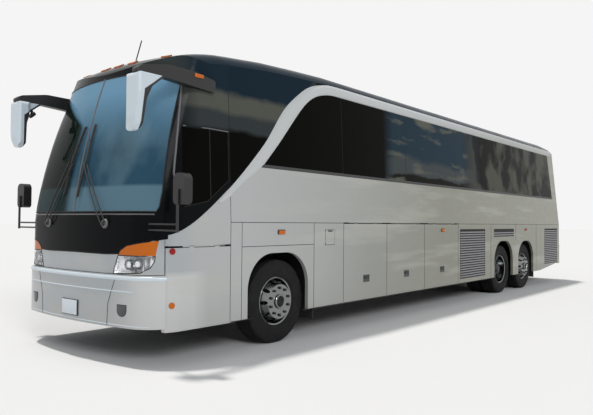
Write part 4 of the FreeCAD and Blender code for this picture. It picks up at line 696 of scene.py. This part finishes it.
def make_tyres():
    profile = [(-reach, radius) for reach, radius in reversed(TYRE_HALF[1:])] + list(TYRE_HALF)
    first = wheel_turned("tyre_dressed_front_left", profile, 0, 60)
    done(first, TYRE, "tyre_black", "wheel_front_left", 28)
    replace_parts(first, "tyre_front_left")
    singles = (("front_right", 0, -WHEEL_Y), ("tag_left", TAG_STATION, WHEEL_Y),
               ("tag_right", TAG_STATION, -WHEEL_Y))
    places = [(word, shift, y, "tyre_" + word, "wheel_" + word) for word, shift, y in singles]
    for side, sign in SIDES:
        for word, y in (("outer", WHEEL_Y), ("inner", WHEEL_Y - TWIN_GAP)):
            places.append(("drive_%s_%s" % (word, side), DRIVE_STATION, sign * y, "tyres_drive_" + side,
                           "wheel_drive_" + side))
    for word, shift, y, node, body in places:
        tyre = again(first, "tyre_dressed_" + word, body, (shift, y - WHEEL_Y, 0))
        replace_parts(tyre, node)


def make_nuts(side, sign, phase):
    """Ten capped nuts round a wheel's hub, turned by a share of their spacing."""
    x = at(0)
    angle = math.tau * phase / NUT_COUNT
    spot = (x + NUT_CIRCLE * math.cos(angle), sign * (WHEEL_Y + FACE_REACH + 0.011),
            AXLE_Z + NUT_CIRCLE * math.sin(angle))
    nut = begin("wheel_nuts_front_" + side, MESH.primitive_cylinder_add, vertices=6, radius=0.017,
                depth=0.020, location=spot, rotation=(math.pi / 2, 0, 0))
    pick(nut, "FACE", lambda face: face.normal.y * sign > 0.9)
    MESH.inset(thickness=0.0025)
    run_out((0, sign * 0.005, 0))
    MOVE.resize(value=(0.75, 1, 0.75))
    MESH.select_all(action="SELECT")
    MESH.spin(steps=NUT_COUNT, dupli=True, angle=math.tau, center=(x, sign * WHEEL_Y, AXLE_Z),
              axis=(0, 1, 0))
    outward()
    done(nut, STEEL, "frame_dark", "wheel_front_" + side, 25)
    again(nut, "wheel_nuts_tag_" + side, "wheel_tag_" + side, (TAG_STATION, 0, 0))


def make_hubs():
    """Bright ring with the dark open cup of the hub inside it, and the drive wheels' drums."""
    ring = wheel_turned("hub_ring_front_left", HUB_RING, 0, 40)
    done(ring, RIM, "rim_polished", "wheel_front_left")
    cup = wheel_turned("hub_cup_front_left", HUB_CUP, 0, 40)
    done(cup, GREASE, "frame_dark", "wheel_front_left")
    places = (("front_right", 0, True), ("tag_left", TAG_STATION, False), ("tag_right", TAG_STATION, True))
    for piece in (ring, cup):
        stem = piece.name.replace("front_left", "")
        for word, shift, across in places:
            again(piece, stem + word, "wheel_" + word, (shift, 0, 0), across)
    drum = wheel_turned("hub_drum_drive_left", HUB_DRUM, DRIVE_STATION, 40)
    done(drum, STEEL, "frame_dark", "wheel_drive_left")
    both_sides(drum, "wheel_drive_left")


make_tyres()
make_nuts("left", 1, 0.5)
make_nuts("right", -1, 0)
make_hubs()


# Raised moulding: it sweeps up from the front corner and runs back along the eaves.
# Each entry has the outer and the inner edge, as (station, z, station, z).

SWEEP_PAIRS = ((1.060, 1.716, 1.050, 1.700), (0.965, 1.803, 0.925, 1.750), (0.880, 1.884, 0.800, 1.838),
               (0.700, 2.040, 0.634, 1.962), (0.460, 2.268, 0.350, 2.153), (0.280, 2.450, 0.167, 2.326),
               (0.110, 2.650, 0.000, 2.495), (-0.110, 2.895, -0.210, 2.722), (-0.330, 3.090, -0.425, 2.950),
               (-0.520, 3.222, -0.600, 3.100), (-0.740, 3.325, -0.800, 3.205), (-1.000, 3.390, -1.037, 3.262),
               (-1.300, 3.405, -1.325, 3.280), (-1.700, 3.405, -1.700, 3.280))
MOULDING_REAR = ((-4.000, 3.405, -4.000, 3.280), (-7.000, 3.405, -7.000, 3.280),
                 (-10.200, 3.402, -10.200, 3.278), (-10.890, 3.398, -10.800, 3.276))
MOULDING_SECTION = ((0.0, 0.0015), (0.13, 0.014), (0.36, 0.024), (0.64, 0.024), (0.87, 0.014), (1.0, 0.0015))
MOULDING_FOOT = 0.0015
MOULDING_WIDTH = 0.120


def make_moulding():
    pairs = smooth_line(SWEEP_PAIRS, 52) + list(MOULDING_REAR)
    rows = []
    for share, proud in MOULDING_SECTION:
        points = []
        for xa, za, xb, zb in pairs:
            width = math.dist((xa, za), (xb, zb))
            lift = MOULDING_FOOT + (proud - MOULDING_FOOT) * min(1, width / MOULDING_WIDTH)
            points.append(wall_point(xa + (xb - xa) * share, za + (zb - za) * share, lift))
        rows.append(points)
    piece = surface("sweep_moulding_left", rows, 0.0012, (0, 1, 0))
    done(piece, MOULD, "body_silver", "root", 60)
    both_sides(piece)


make_moulding()


# Headlamps: a bright bucket and two round lamps behind a clear cover

def lamp_bowl(radius):
    return ((-0.042, 0.0), (-0.042, radius), (-0.012, radius), (-0.009, radius - 0.004),
            (-0.013, radius - 0.008), (-0.030, radius - 0.028), (-0.033, 0.0))


def lamp_eye(radius):
    return ((-0.032, 0.0), (-0.032, radius - 0.020), (-0.024, radius - 0.018), (-0.017, radius - 0.032),
            (-0.015, 0.0))


def make_headlamps():
    cover = taken("headlamps", "headlamp_covers")
    pick(cover, "FACE", lambda face: face.normal.x < 0.3)
    MESH.delete(type="FACE")
    shaped(cover, "SOLIDIFY", thickness=0.003, offset=-1)
    done(cover, CLEAR, "lens_clear")
    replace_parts(cover, "headlamps")
    bucket = taken("headlamps", "headlamp_buckets")
    pick(bucket, "FACE", lambda face: face.normal.x >= 0.3)
    MESH.delete(type="FACE")
    MESH.select_all(action="SELECT")
    MESH.flip_normals()
    shaped(bucket, "SOLIDIFY", thickness=0.001, offset=-1)
    done(bucket, REFLECTOR, "rim_polished")
    for number, (y, z, radius) in enumerate(((0.914, 1.046, 0.052), (1.032, 1.054, 0.050)), 1):
        spot, out = nose_point(y, z), nose_normal(y, z)
        bowl = turned_on("headlamp_bowl_left_%d" % number, lamp_bowl(radius), spot, out, 36)
        both_sides(done(bowl, RIM, "rim_polished"))
        eye = turned_on("headlamp_eye_left_%d" % number, lamp_eye(radius), spot, out, 36)
        both_sides(done(eye, GLOW, "lens_clear"))


make_headlamps()


# Mirrors

def make_mirrors():
    """Black housing edge behind each silver shell, its glass, and the lamps on the arms."""
    edge = taken("mirror_heads", "mirror_edges")
    MESH.bisect(plane_co=(at(2.092), 0, 0), plane_no=(1, 0, 0), use_fill=True, clear_outer=True)
    MESH.select_all(action="SELECT")
    MESH.bisect(plane_co=(at(1.849), 0, 2.974), plane_no=(0.603, 0, 0.798), use_fill=True, clear_outer=True)
    MESH.select_all(action="SELECT")
    MESH.normals_make_consistent(inside=False)
    MOVE.shrink_fatten(value=0.0025)
    done(edge, PLASTIC, "trim_black")
    glass = taken("mirror_heads", "mirror_glasses")
    pick(glass, "FACE", lambda face: not (face.normal.x < -0.9 and face.calc_center_median().x < at(2.09)))
    MESH.delete(type="FACE")
    MESH.select_mode(type="FACE")
    MESH.select_all(action="SELECT")
    MESH.inset(thickness=0.014)
    MESH.select_all(action="INVERT")
    MESH.delete(type="FACE")
    MESH.select_all(action="SELECT")
    run_out((-0.005, 0, 0))
    outward()
    done(glass, MIRROR, "rim_polished")
    lamp = block("mirror_arm_lamp_left", (at(1.364), 1.279, 3.058), (0.120, 0.012, 0.040))
    pick_outer(lamp)
    MESH.inset(thickness=0.008)
    MOVE.translate(value=(0, 0.006, 0))
    eased(lamp, 0.003)
    both_sides(done(lamp, AMBER, "lens_amber"))


make_mirrors()


# Wipers with doubled arms: the pivot, then the blade's lower end, joint and upper end, as (y, z)

WIPERS = (("left", (0.577, 1.466), (0.056, 1.757), (0.114, 2.139), (0.119, 2.584)),
          ("right", (-0.572, 1.463), (-0.227, 1.790), (-0.185, 2.156), (-0.067, 2.573)))
WIPER_BOSS = ((0.0, 0.0), (0.0, 0.040), (0.012, 0.040), (0.030, 0.024), (0.050, 0.020), (0.052, 0.0))
ARM_PROUD = 0.042


def wiper_lines(pivot, low, middle, top):
    """The doubled arm, the blade's back, its two claws and its edge, each a line and a radius."""
    blade = [low, middle, top]
    for shift in (-0.030, 0.050):
        start = (pivot[0] + shift, pivot[1] + 0.012)
        end = (middle[0] + shift, middle[1] - shift * 0.4)
        yield nose_line([start, end], ARM_PROUD), 0.007
    yield nose_line(blade, 0.030), 0.009
    for share in (0.25, 0.75):
        spot = tuple(a + (b - a) * share for a, b in zip(low, top))
        near = (spot[0], spot[1] + 0.03)
        yield [nose_point(*spot, 0.022), nose_point(*near, ARM_PROUD)], 0.008
    yield nose_line(blade, 0.013), 0.005


def make_wipers():
    for side, pivot, *blade in WIPERS:
        parts = [rod("wiper_rod", line, radius) for line, radius in wiper_lines(pivot, *blade)]
        parts.append(turned_on("wiper_boss", WIPER_BOSS, nose_point(*pivot), AHEAD, 24))
        OBJECT.mode_set(mode="OBJECT")
        arm = joined("wiper_" + side, parts)
        done(arm, PLASTIC, "trim_black", "root", 40)
        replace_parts(arm, "wipers")


make_wipers()


# Seals, trims, seams and painted highlight strips of the front; the windscreen's outer edge is given as (z,
# y)

SCREEN_EDGE = ((1.592, 1.190), (1.640, 1.206), (1.800, 1.207), (2.080, 1.190), (3.040, 1.112),
               (3.100, 1.080), (3.140, 1.020))
SCREEN_ROWS = (1.592, 1.640, 1.700, 1.800, 1.940, 2.080, 2.240, 2.400, 2.560, 2.720, 2.880, 3.000, 3.060,
               3.100, 3.140)
SCREEN_MIDDLE = 0.006
SCREEN_COLUMNS = 26
PILLAR = ((1.276, 1.780), (1.240, 2.000), (1.220, 2.251), (1.199, 2.457), (1.171, 2.678), (1.146, 2.847),
          (1.116, 3.020))
MASK_FOOT = ((-0.760, 1.152), (-0.580, 1.146), (0, 1.152), (0.580, 1.146), (0.760, 1.152))
BUMPER_SPLIT = ((0.780, 0.922), (0.668, 0.635), (0.658, 0.408))


def edge_at(z):
    """Where the windscreen ends sideways at a height."""
    for (za, ya), (zb, yb) in zip(SCREEN_EDGE, SCREEN_EDGE[1:]):
        if z <= zb:
            return ya + (yb - ya) * (z - za) / (zb - za)
    return SCREEN_EDGE[-1][1]


def make_screen_panes():
    rows = []
    for z in SCREEN_ROWS:
        reach = edge_at(z) - SCREEN_MIDDLE
        rows.append([nose_point(SCREEN_MIDDLE + reach * i / SCREEN_COLUMNS, z, 0.003)
                     for i in range(SCREEN_COLUMNS + 1)])
    pane = surface("screen_pane_left", rows, 0.005, (1, 0, 0))
    done(pane, SCREEN, "glass_clear", "root", 60)
    other = both_sides(pane)
    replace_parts(pane, "windscreen")
    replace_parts(other, "windscreen")


def make_front_trims():
    outline = [(0, 1.592)] + [(y, z) for z, y in SCREEN_EDGE] + [(0, 3.140)]
    for word, sign in SIDES:
        nose_rod("screen_seal_" + word, flipped(outline, sign), 0.001, 0.008, RUBBER)
        nose_rod("pillar_trim_" + word, flipped(PILLAR, sign), 0.0005, 0.012, GREY_TRIM, "grille_silver")
    nose_rod("screen_divider", [(0, 1.592), (0, 3.140)], 0.004, 0.010, GREY_TRIM)
    # Painted highlight: a grey strip along the foot of the windscreen.
    nose_rod("cowl_strip", [(-1.180, 1.565), (1.180, 1.565)], -0.003, 0.009, GREY_TRIM, "body_silver")
    nose_rod("mask_foot_strip", MASK_FOOT, -0.002, 0.006, RUBBER)
    # Painted highlights: the bumper's top roll and creases are made in the lighter trim silver, to show
    # bright lines along them.
    for name, half, z, proud, radius, sides in (("bumper_top_roll", 1.268, 0.908, 0.011, 0.026, 4),
                                                ("bumper_crease", 1.020, 0.772, 0.022, 0.0075, 2),
                                                ("bumper_low_crease", 1.180, 0.425, 0.021, 0.006, 2)):
        nose_rod(name, [(-half, z), (half, z)], proud, radius, TRIM_AND_HIGHLIGHT, "body_silver", 0.05, sides)
    for word, sign in SIDES:
        nose_rod("bumper_split_" + word, flipped(BUMPER_SPLIT, sign), 0.0245, 0.0035, RUBBER)


def fog_outline(y, z, grow, proud):
    """A lens flat at its top and round below."""
    half = 0.062 + grow
    points = [(y - half, z + 0.050 + grow), (y + half, z + 0.050 + grow)]
    for i in range(9):
        angle = math.pi * i / 8
        points.append((y + half * math.cos(angle), z - 0.004 - (0.056 + grow) * math.sin(angle)))
    return [nose_point(a, b, proud) for a, b in points]


def upright_ring(x, y0, y1, z0, z1):
    """Corners of a rectangle that faces ahead."""
    return [(x, y0, z0), (x, y1, z0), (x, y1, z1), (x, y0, z1)]


def make_bumper_fittings():
    for word, sign in SIDES:
        y = sign * 0.876
        bezel = slab("fog_bezel_" + word, fog_outline(y, 0.580, 0.008, 0.027), (-0.012, 0, 0))
        done(bezel, PLASTIC, "trim_black")
        glass = slab("fog_lens_" + word, fog_outline(y, 0.580, 0.0, 0.0295), (-0.010, 0, 0))
        done(glass, SMOKE, "lens_clear")
    x = at(2.085)
    back = slab("front_plate_frame", upright_ring(x + 0.002, -0.156, 0.164, 0.458, 0.630), (-0.012, 0, 0))
    done(back, PLASTIC, "trim_black")
    blank = slab("front_plate_blank", upright_ring(x + 0.006, -0.150, 0.150, 0.466, 0.624), (-0.005, 0, 0),
                 0.0015)
    done(blank, PLATE, "grille_silver")


make_screen_panes()
make_front_trims()
make_bumper_fittings()


# Seams, rubber edges and strips of the sides, by station from the front axle

SEAM_LOW = 0.372
SEAM_HIGH = 1.486
BAY_HIGH = 1.478
SKIRT_Z = 0.366


def upright(station, low=SEAM_LOW, high=SEAM_HIGH):
    return (station, low), (station, high)


SEAMS = (("waist", ((0.880, WAIST_Z), (-11.200, WAIST_Z))),
         ("cap", ((0.880, SEAM_LOW), (0.880, WAIST_Z), (0.880, 1.872))),
         ("arch_front", upright(0.700)), ("arch_rear", upright(-0.652)),
         ("arch_top", ((0.700, 1.208), (-0.652, 1.208))), ("drive", upright(-6.664)),
         ("axles", upright(-8.104, 1.130)), ("tail", upright(-9.504)),
         ("bay_front", upright(-1.330, high=BAY_HIGH)), ("bay_rear", upright(-5.080, high=BAY_HIGH)),
         ("bay_one", upright(-2.500, high=BAY_HIGH)), ("bay_two", upright(-3.740, high=BAY_HIGH)))
SKIRTS = (("front", 0.864, 0.500, "root"), ("middle", -0.420, -1.322, "root"),
          ("louvres", -5.090, -6.900, "root"), ("door_1", -1.342, -2.488, "luggage_door_left_1"),
          ("door_2", -2.512, -3.728, "luggage_door_left_2"),
          ("door_3", -3.752, -5.068, "luggage_door_left_3"))
PANE_SEAMS = (-1.350, -3.160, -5.040, -6.260, -8.020, -9.500)
WINDOW_FRAME = ((0.905, 2.510), (0.905, 1.960), (1.230, 1.715), (1.560, 1.648))
WINDOW_RAIL = ((0.900, 2.514), (1.200, 2.516), (1.530, 2.510))


def side_rod(name, points, proud, radius, finish, body="root", sides=1):
    """A strip along the left side."""
    line = [wall_point(station, z, proud) for station, z in finely(points, 0.6)]
    return done(rod(name, line, radius, sides=sides), finish, "trim_black", body, 60)


def make_side_seams():
    for name, points in SEAMS:
        both_sides(side_rod("seam_%s_left" % name, points, -0.0012, 0.0038, RUBBER))
    side_rod("seam_flap_left", [(1.755, 1.2370), (0.886, 1.2370)], 0.0005, 0.0065, RUBBER)
    for name, front, rear, body in SKIRTS:
        points = [(front, SKIRT_Z), (rear, SKIRT_Z)]
        edge = side_rod("skirt_edge_%s_left" % name, points, -0.002, 0.0075, RUBBER, body, 2)
        both_sides(edge, body)


def make_belt_strips():
    """Dark strip under the side glass, and the seams between the panes."""
    stations = (0.350, -0.500) + PANE_SEAMS + (-10.850,)
    rows = []
    for z, proud in ((2.152, 0.001), (2.156, 0.006), (2.184, 0.006), (2.190, 0.001)):
        rows.append([wall_point(station, z, proud) for station in stations])
    piece = surface("belt_strip_left", rows, 0.0008, (0, 1, 0))
    done(piece, BELT, "trim_black", "root", 40)
    both_sides(piece)
    for number, station in enumerate(PANE_SEAMS, 1):
        points = upright(station, 2.192, 3.270)
        both_sides(side_rod("pane_seam_%d_left" % number, points, -0.001, 0.0035, RUBBER))


def make_driver_window():
    side_rod("driver_window_seal_left", WINDOW_FRAME, 0.0005, 0.006, RUBBER)
    side_rod("driver_window_rail_left", WINDOW_RAIL, 0.004, 0.007, GREY_TRIM)
    side_rod("quarter_seam_left", upright(0.880, 1.900, 3.300), -0.001, 0.0035, RUBBER)
    side_rod("driver_window_slide_left", upright(1.180, 1.755, 2.508), 0.0005, 0.005, RUBBER)


def plate(name, station, z, length, height, proud, finish, slot, body, bevel=0.004, inset=0.0, dish=0.0):
    """A bevelled block on the left side; its outer face may be inset and pressed in."""
    spot = wall_point(station, z)
    piece = block(name, (spot.x, spot.y + proud / 2 - 0.001, z), (length, proud + 0.002, height))
    if inset:
        pick_outer(piece)
        MESH.inset(thickness=inset)
        run_out((0, -dish, 0))
    eased(piece, bevel)
    return done(piece, finish, slot, body)


DOOR_LATCHES = ((1, -1.919), (2, -3.119), (3, -4.412))
SIDE_LAMPS = ((1, 0.010, "root"), (2, -4.440, "luggage_door_left_3"))
SIDE_LAMP_Z = 1.375
REFLECTOR_STATION = 1.696
REFLECTOR_DISC = ((-0.004, 0.0), (-0.004, 0.033), (0.005, 0.033), (0.009, 0.029), (0.011, 0.020),
                  (0.012, 0.0))


def make_door_fittings():
    for number, station in DOOR_LATCHES:
        body = "luggage_door_left_%d" % number
        cup = plate("latch_cup_left_%d" % number, station, 0.678, 0.165, 0.107, 0.004, LATCH,
                    "trim_black", body, 0.0015, 0.012, 0.003)
        lever = plate("latch_lever_left_%d" % number, station, 0.690, 0.100, 0.036, 0.010, PLASTIC,
                      "trim_black", body, 0.004, 0.008, 0.002)
        for piece in (cup, lever):
            both_sides(piece, body)
    for number, station, body in SIDE_LAMPS:
        base = plate("side_lamp_base_left_%d" % number, station, SIDE_LAMP_Z, 0.140, 0.058, 0.006, PLASTIC,
                     "trim_black", body, 0.0028)
        both_sides(base, body)
        if number == 2:
            glow = plate("side_lamp_left_%d" % number, station, SIDE_LAMP_Z, 0.122, 0.042, 0.022, AMBER,
                         "lens_amber", body, 0.010)
            both_sides(glow, body)
    handle = plate("filler_handle_left", -1.010, 1.380, 0.090, 0.016, 0.008, PLASTIC, "trim_black",
                   "filler_flap", 0.003)
    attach(handle, "filler_flap")
    for word, z, finish, slot in (("high", 1.186, RED, "lens_red"), ("low", 0.631, AMBER, "lens_amber")):
        spot = wall_point(REFLECTOR_STATION, z)
        out = wall_point(REFLECTOR_STATION, z, 1.0) - spot
        disc = turned_on("reflector_left_" + word, REFLECTOR_DISC, spot, out, 28)
        done(disc, finish, slot, "service_flap")


make_side_seams()
make_belt_strips()
make_driver_window()
make_door_fittings()


# Lamp seams and cowls of the wiper pivots

LAMP_SEAMS = (("lower", ((0.780, 1.137), (0.708, 0.946), (1.074, 0.963), (1.160, 1.015), (1.190, 1.082),
                         (1.196, 1.134))),
              ("middle", ((0.780, 1.139), (1.198, 1.138))),
              ("upper", ((0.782, 1.143), (0.814, 1.190), (0.902, 1.239), (1.061, 1.269), (1.216, 1.297))))
WIPER_COWL = ((0.0, 0.0), (0.0, 0.052), (0.010, 0.052), (0.022, 0.044), (0.026, 0.030), (0.026, 0.0))


def make_lamp_seams():
    for word, sign in SIDES:
        for name, outline in LAMP_SEAMS:
            nose_rod("lamp_seam_%s_%s" % (name, word), flipped(outline, sign), -0.001, 0.0048, RUBBER)
        cowl = turned_on("wiper_cowl_" + word, WIPER_COWL, nose_point(sign * 0.577, 1.466), AHEAD, 28)
        done(cowl, GREY_TRIM, "trim_black")


make_lamp_seams()


# Louvre packs: a dark back as painted shade behind the slats, and a slat repeated up it, by front and rear
# station, foot and top

LOUVRES = ((1, -5.160, -6.360, 0.450, 1.390), (2, -6.830, -7.990, 1.225, 1.390),
           (3, -10.140, -11.180, 0.500, 1.390))
SLAT_PITCH = 0.047


def make_louvres():
    for number, front, rear, low, high in LOUVRES:
        x, length = at((front + rear) / 2), front - rear
        # Painted shade: a dark recessed back behind the slats.
        back = block("louvre_back_left_%d" % number, (x, HALF - 0.008, (low + high) / 2),
                     (length - 0.010, 0.010, high - low - 0.010))
        pick_outer(back)
        MESH.inset(thickness=0.016)
        run_out((0, -0.004, 0))
        done(back, RUBBER, "frame_dark")
        slat = block("louvre_slats_left_%d" % number, (x, HALF - 0.002, low + 0.034),
                     (length - 0.030, 0.010, 0.026))
        pick_outer(slat)
        MOVE.resize(value=(1, 1, 0.55))
        MOVE.translate(value=(0, 0, -0.004))
        repeated(slat, int((high - low - 0.040) / SLAT_PITCH), (0, 0, SLAT_PITCH))
        done(slat, SLAT, "grille_silver")
        for piece in (back, slat):
            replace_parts(piece, "side_grilles")
            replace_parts(both_sides(piece), "side_grilles")


make_louvres()


# Seats: foam pads on a dark frame

DECK_Z = 1.440
CAB_FLOOR_Z = 1.000
SEAT_STATION = 0.060
SEAT_Y = 0.205
SEAT_GAP = 0.495
SEAT_PITCH = 0.800
SEAT_ROWS = 14
HALF_SEAT = 0.2325
DRIVER_Y = 0.620
LEAN_STEPS = 4


def seat_pad(name, low, high, lean, dish):
    """A pad from a cube cut up: its middle pressed in, its rim rounded by subdivision."""
    size = [b - a for a, b in zip(low, high)]
    middle = [(a + b) / 2 for a, b in zip(low, high)]
    piece = block(name, middle, size)
    MESH.subdivide(number_cuts=3)
    across = 2 if lean else 0
    face_axis = 0 if lean else 2
    pick(piece, "FACE", lambda face: face.normal[face_axis] > 0.9
         and abs(face.calc_center_median().y - middle[1]) < size[1] * 0.26
         and abs(face.calc_center_median()[across] - middle[across]) < size[across] * 0.40)
    MOVE.translate(value=(-dish if lean else 0, 0, 0 if lean else -dish))
    for i in range(LEAN_STEPS + 1 if lean else 0):
        level = low[2] + size[2] * i / LEAN_STEPS
        pick(piece, "VERT", lambda vertex: abs(vertex.co.z - level) < 0.01)
        MOVE.translate(value=(-lean * i / LEAN_STEPS, 0, 0))
        if i == LEAN_STEPS:
            MOVE.resize(value=(0.7, 0.86, 1))
    shaped(piece, "SUBSURF", levels=1)
    return piece


def seat_base(x):
    base = block("seat_frame", (x + 0.230, SEAT_Y + HALF_SEAT, DECK_Z + 0.318), (0.420, 0.430, 0.030))
    pick(base, "FACE", lambda face: face.normal.z < -0.9)
    MESH.inset(thickness=0.130)
    run_out((0, 0, -0.290))
    MOVE.resize(value=(1.25, 0.6, 1))
    eased(base, 0.010)
    return base


def make_seats():
    floor, x, y = DECK_Z, at(SEAT_STATION), SEAT_Y
    cushion = seat_pad("seat_cushion", (x, y, floor + 0.325), (x + 0.480, y + 0.465, floor + 0.465),
                       0, 0.022)
    back = seat_pad("seat_back", (x + 0.005, y + 0.005, floor + 0.450),
                    (x + 0.125, y + 0.460, floor + 1.130), 0.165, 0.020)
    for piece, finish, slot, word in ((cushion, FABRIC, "seat_fabric", "cushion"),
                                      (back, FABRIC, "seat_fabric", "back"),
                                      (seat_base(x), CHASSIS, "frame_dark", "frame")):
        done(piece, finish, slot, "root", 50)
        shift = (0.755, DRIVER_Y - HALF_SEAT - y, CAB_FLOOR_Z - floor)
        spare = again(piece, "driver_seat_" + word, "root", shift)
        repeated(piece, 2, (0, SEAT_GAP, 0))
        repeated(piece, SEAT_ROWS, (-SEAT_PITCH, 0, 0))
        piece.name = "saloon_seat_%ss_left" % word
        for made in (piece, both_sides(piece), spare):
            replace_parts(made, "seats")


make_seats()


# Hood over the driver's instruments

def make_cab():
    hood = block("instrument_hood", (at(1.560), 0.620, 1.630), (0.200, 0.520, 0.070))
    pick(hood, "FACE", lambda face: face.normal.z > 0.9)
    MOVE.resize(value=(0.7, 0.85, 1))
    pick(hood, "FACE", lambda face: face.normal.x < -0.8)
    MESH.inset(thickness=0.012)
    run_out((0.015, 0, 0))
    eased(hood, 0.010, 3)
    done(hood, DASH, "dash_grey")


make_cab()


# Rear: round lamps in rings, and a blank plate

TAIL_LAMPS = ((1, 1.085, AMBER, "lens_amber"), (2, 1.235, RED, "lens_red"), (3, 1.385, RED, "lens_red"))
TAIL_RING = ((-0.010, 0.052), (0.006, 0.052), (0.010, 0.056), (0.010, 0.064), (0.004, 0.070),
             (-0.010, 0.070))
TAIL_LENS = ((-0.010, 0.0), (-0.010, 0.053), (0.003, 0.053), (0.009, 0.040), (0.012, 0.0))


def make_rear():
    for number, z, finish, slot in TAIL_LAMPS:
        spot = Vector((tail_x(z) - 0.004, 1.070, z))
        ring = turned_on("tail_ring_left_%d" % number, TAIL_RING, spot, -AHEAD, 32)
        done(ring, RIM, "rim_polished")
        glass = turned_on("tail_lens_left_%d" % number, TAIL_LENS, spot, -AHEAD, 32)
        done(glass, finish, slot)
        for piece in (ring, glass):
            both_sides(piece)
    board = block("rear_plate_blank", (tail_x(0.7) - 0.006, 0, 0.700), (0.008, 0.300, 0.155))
    pick(board, "FACE", lambda face: face.normal.x < -0.9)
    MESH.inset(thickness=0.008)
    MOVE.translate(value=(0.002, 0, 0))
    eased(board, 0.0015)
    done(board, PLATE, "grille_silver")


make_rear()


# Studio: the sky lights softly, and what is seen or mirrored of it is pale

LAMPS = (("soft_key", 2.05, 4, (1.0, 0.98, 0.95), (0.10, -0.20, 1.0)),
         ("soft_fill", 1.05, 20, (0.97, 0.98, 1.0), (0.45, 1.0, 0.62)))
SKIES = ((1, 0.34, (0.96, 0.98, 1.0, 1)), (2, 1.0, (0.913, 0.913, 0.913, 1)))


def set_sky(scene):
    world = bpy.data.worlds.new("studio")
    scene.world = world
    world.use_nodes = True
    tree = world.node_tree
    tree.nodes.clear()
    rays = tree.nodes.new("ShaderNodeLightPath")
    seen = rays.outputs["Is Camera Ray"]
    for word in ("Is Glossy Ray", "Is Transmission Ray"):
        either = tree.nodes.new("ShaderNodeMath")
        either.operation = "MAXIMUM"
        tree.links.new(seen, either.inputs[0])
        tree.links.new(rays.outputs[word], either.inputs[1])
        seen = either.outputs["Value"]
    mix = tree.nodes.new("ShaderNodeMixShader")
    tree.links.new(seen, mix.inputs["Fac"])
    for number, strength, colour in SKIES:
        sky = tree.nodes.new("ShaderNodeBackground")
        sky.inputs["Color"].default_value = colour
        sky.inputs["Strength"].default_value = strength
        tree.links.new(sky.outputs["Background"], mix.inputs[number])
    out = tree.nodes.new("ShaderNodeOutputWorld")
    tree.links.new(mix.outputs["Shader"], out.inputs["Surface"])


def set_studio():
    scene = bpy.context.scene
    set_sky(scene)
    for name, energy, spread, colour, aim in LAMPS:
        lamp = bpy.data.lights.new(name, "SUN")
        lamp.energy = energy
        lamp.angle = math.radians(spread)
        lamp.color = colour
        sun = bpy.data.objects.new(name, lamp)
        scene.collection.objects.link(sun)
        sun.rotation_euler = Vector(aim).to_track_quat("Z", "Y").to_euler()
    MESH.primitive_plane_add(size=400, location=ORIGIN)
    floor = bpy.context.object
    floor.name = "studio_floor"
    finish = Finish("floor_pale", (0.80, 0.80, 0.80), 0.9, Specular_IOR_Level=0.0)
    floor.data.materials.append(finish.material)
    floor.select_set(False)


set_studio()
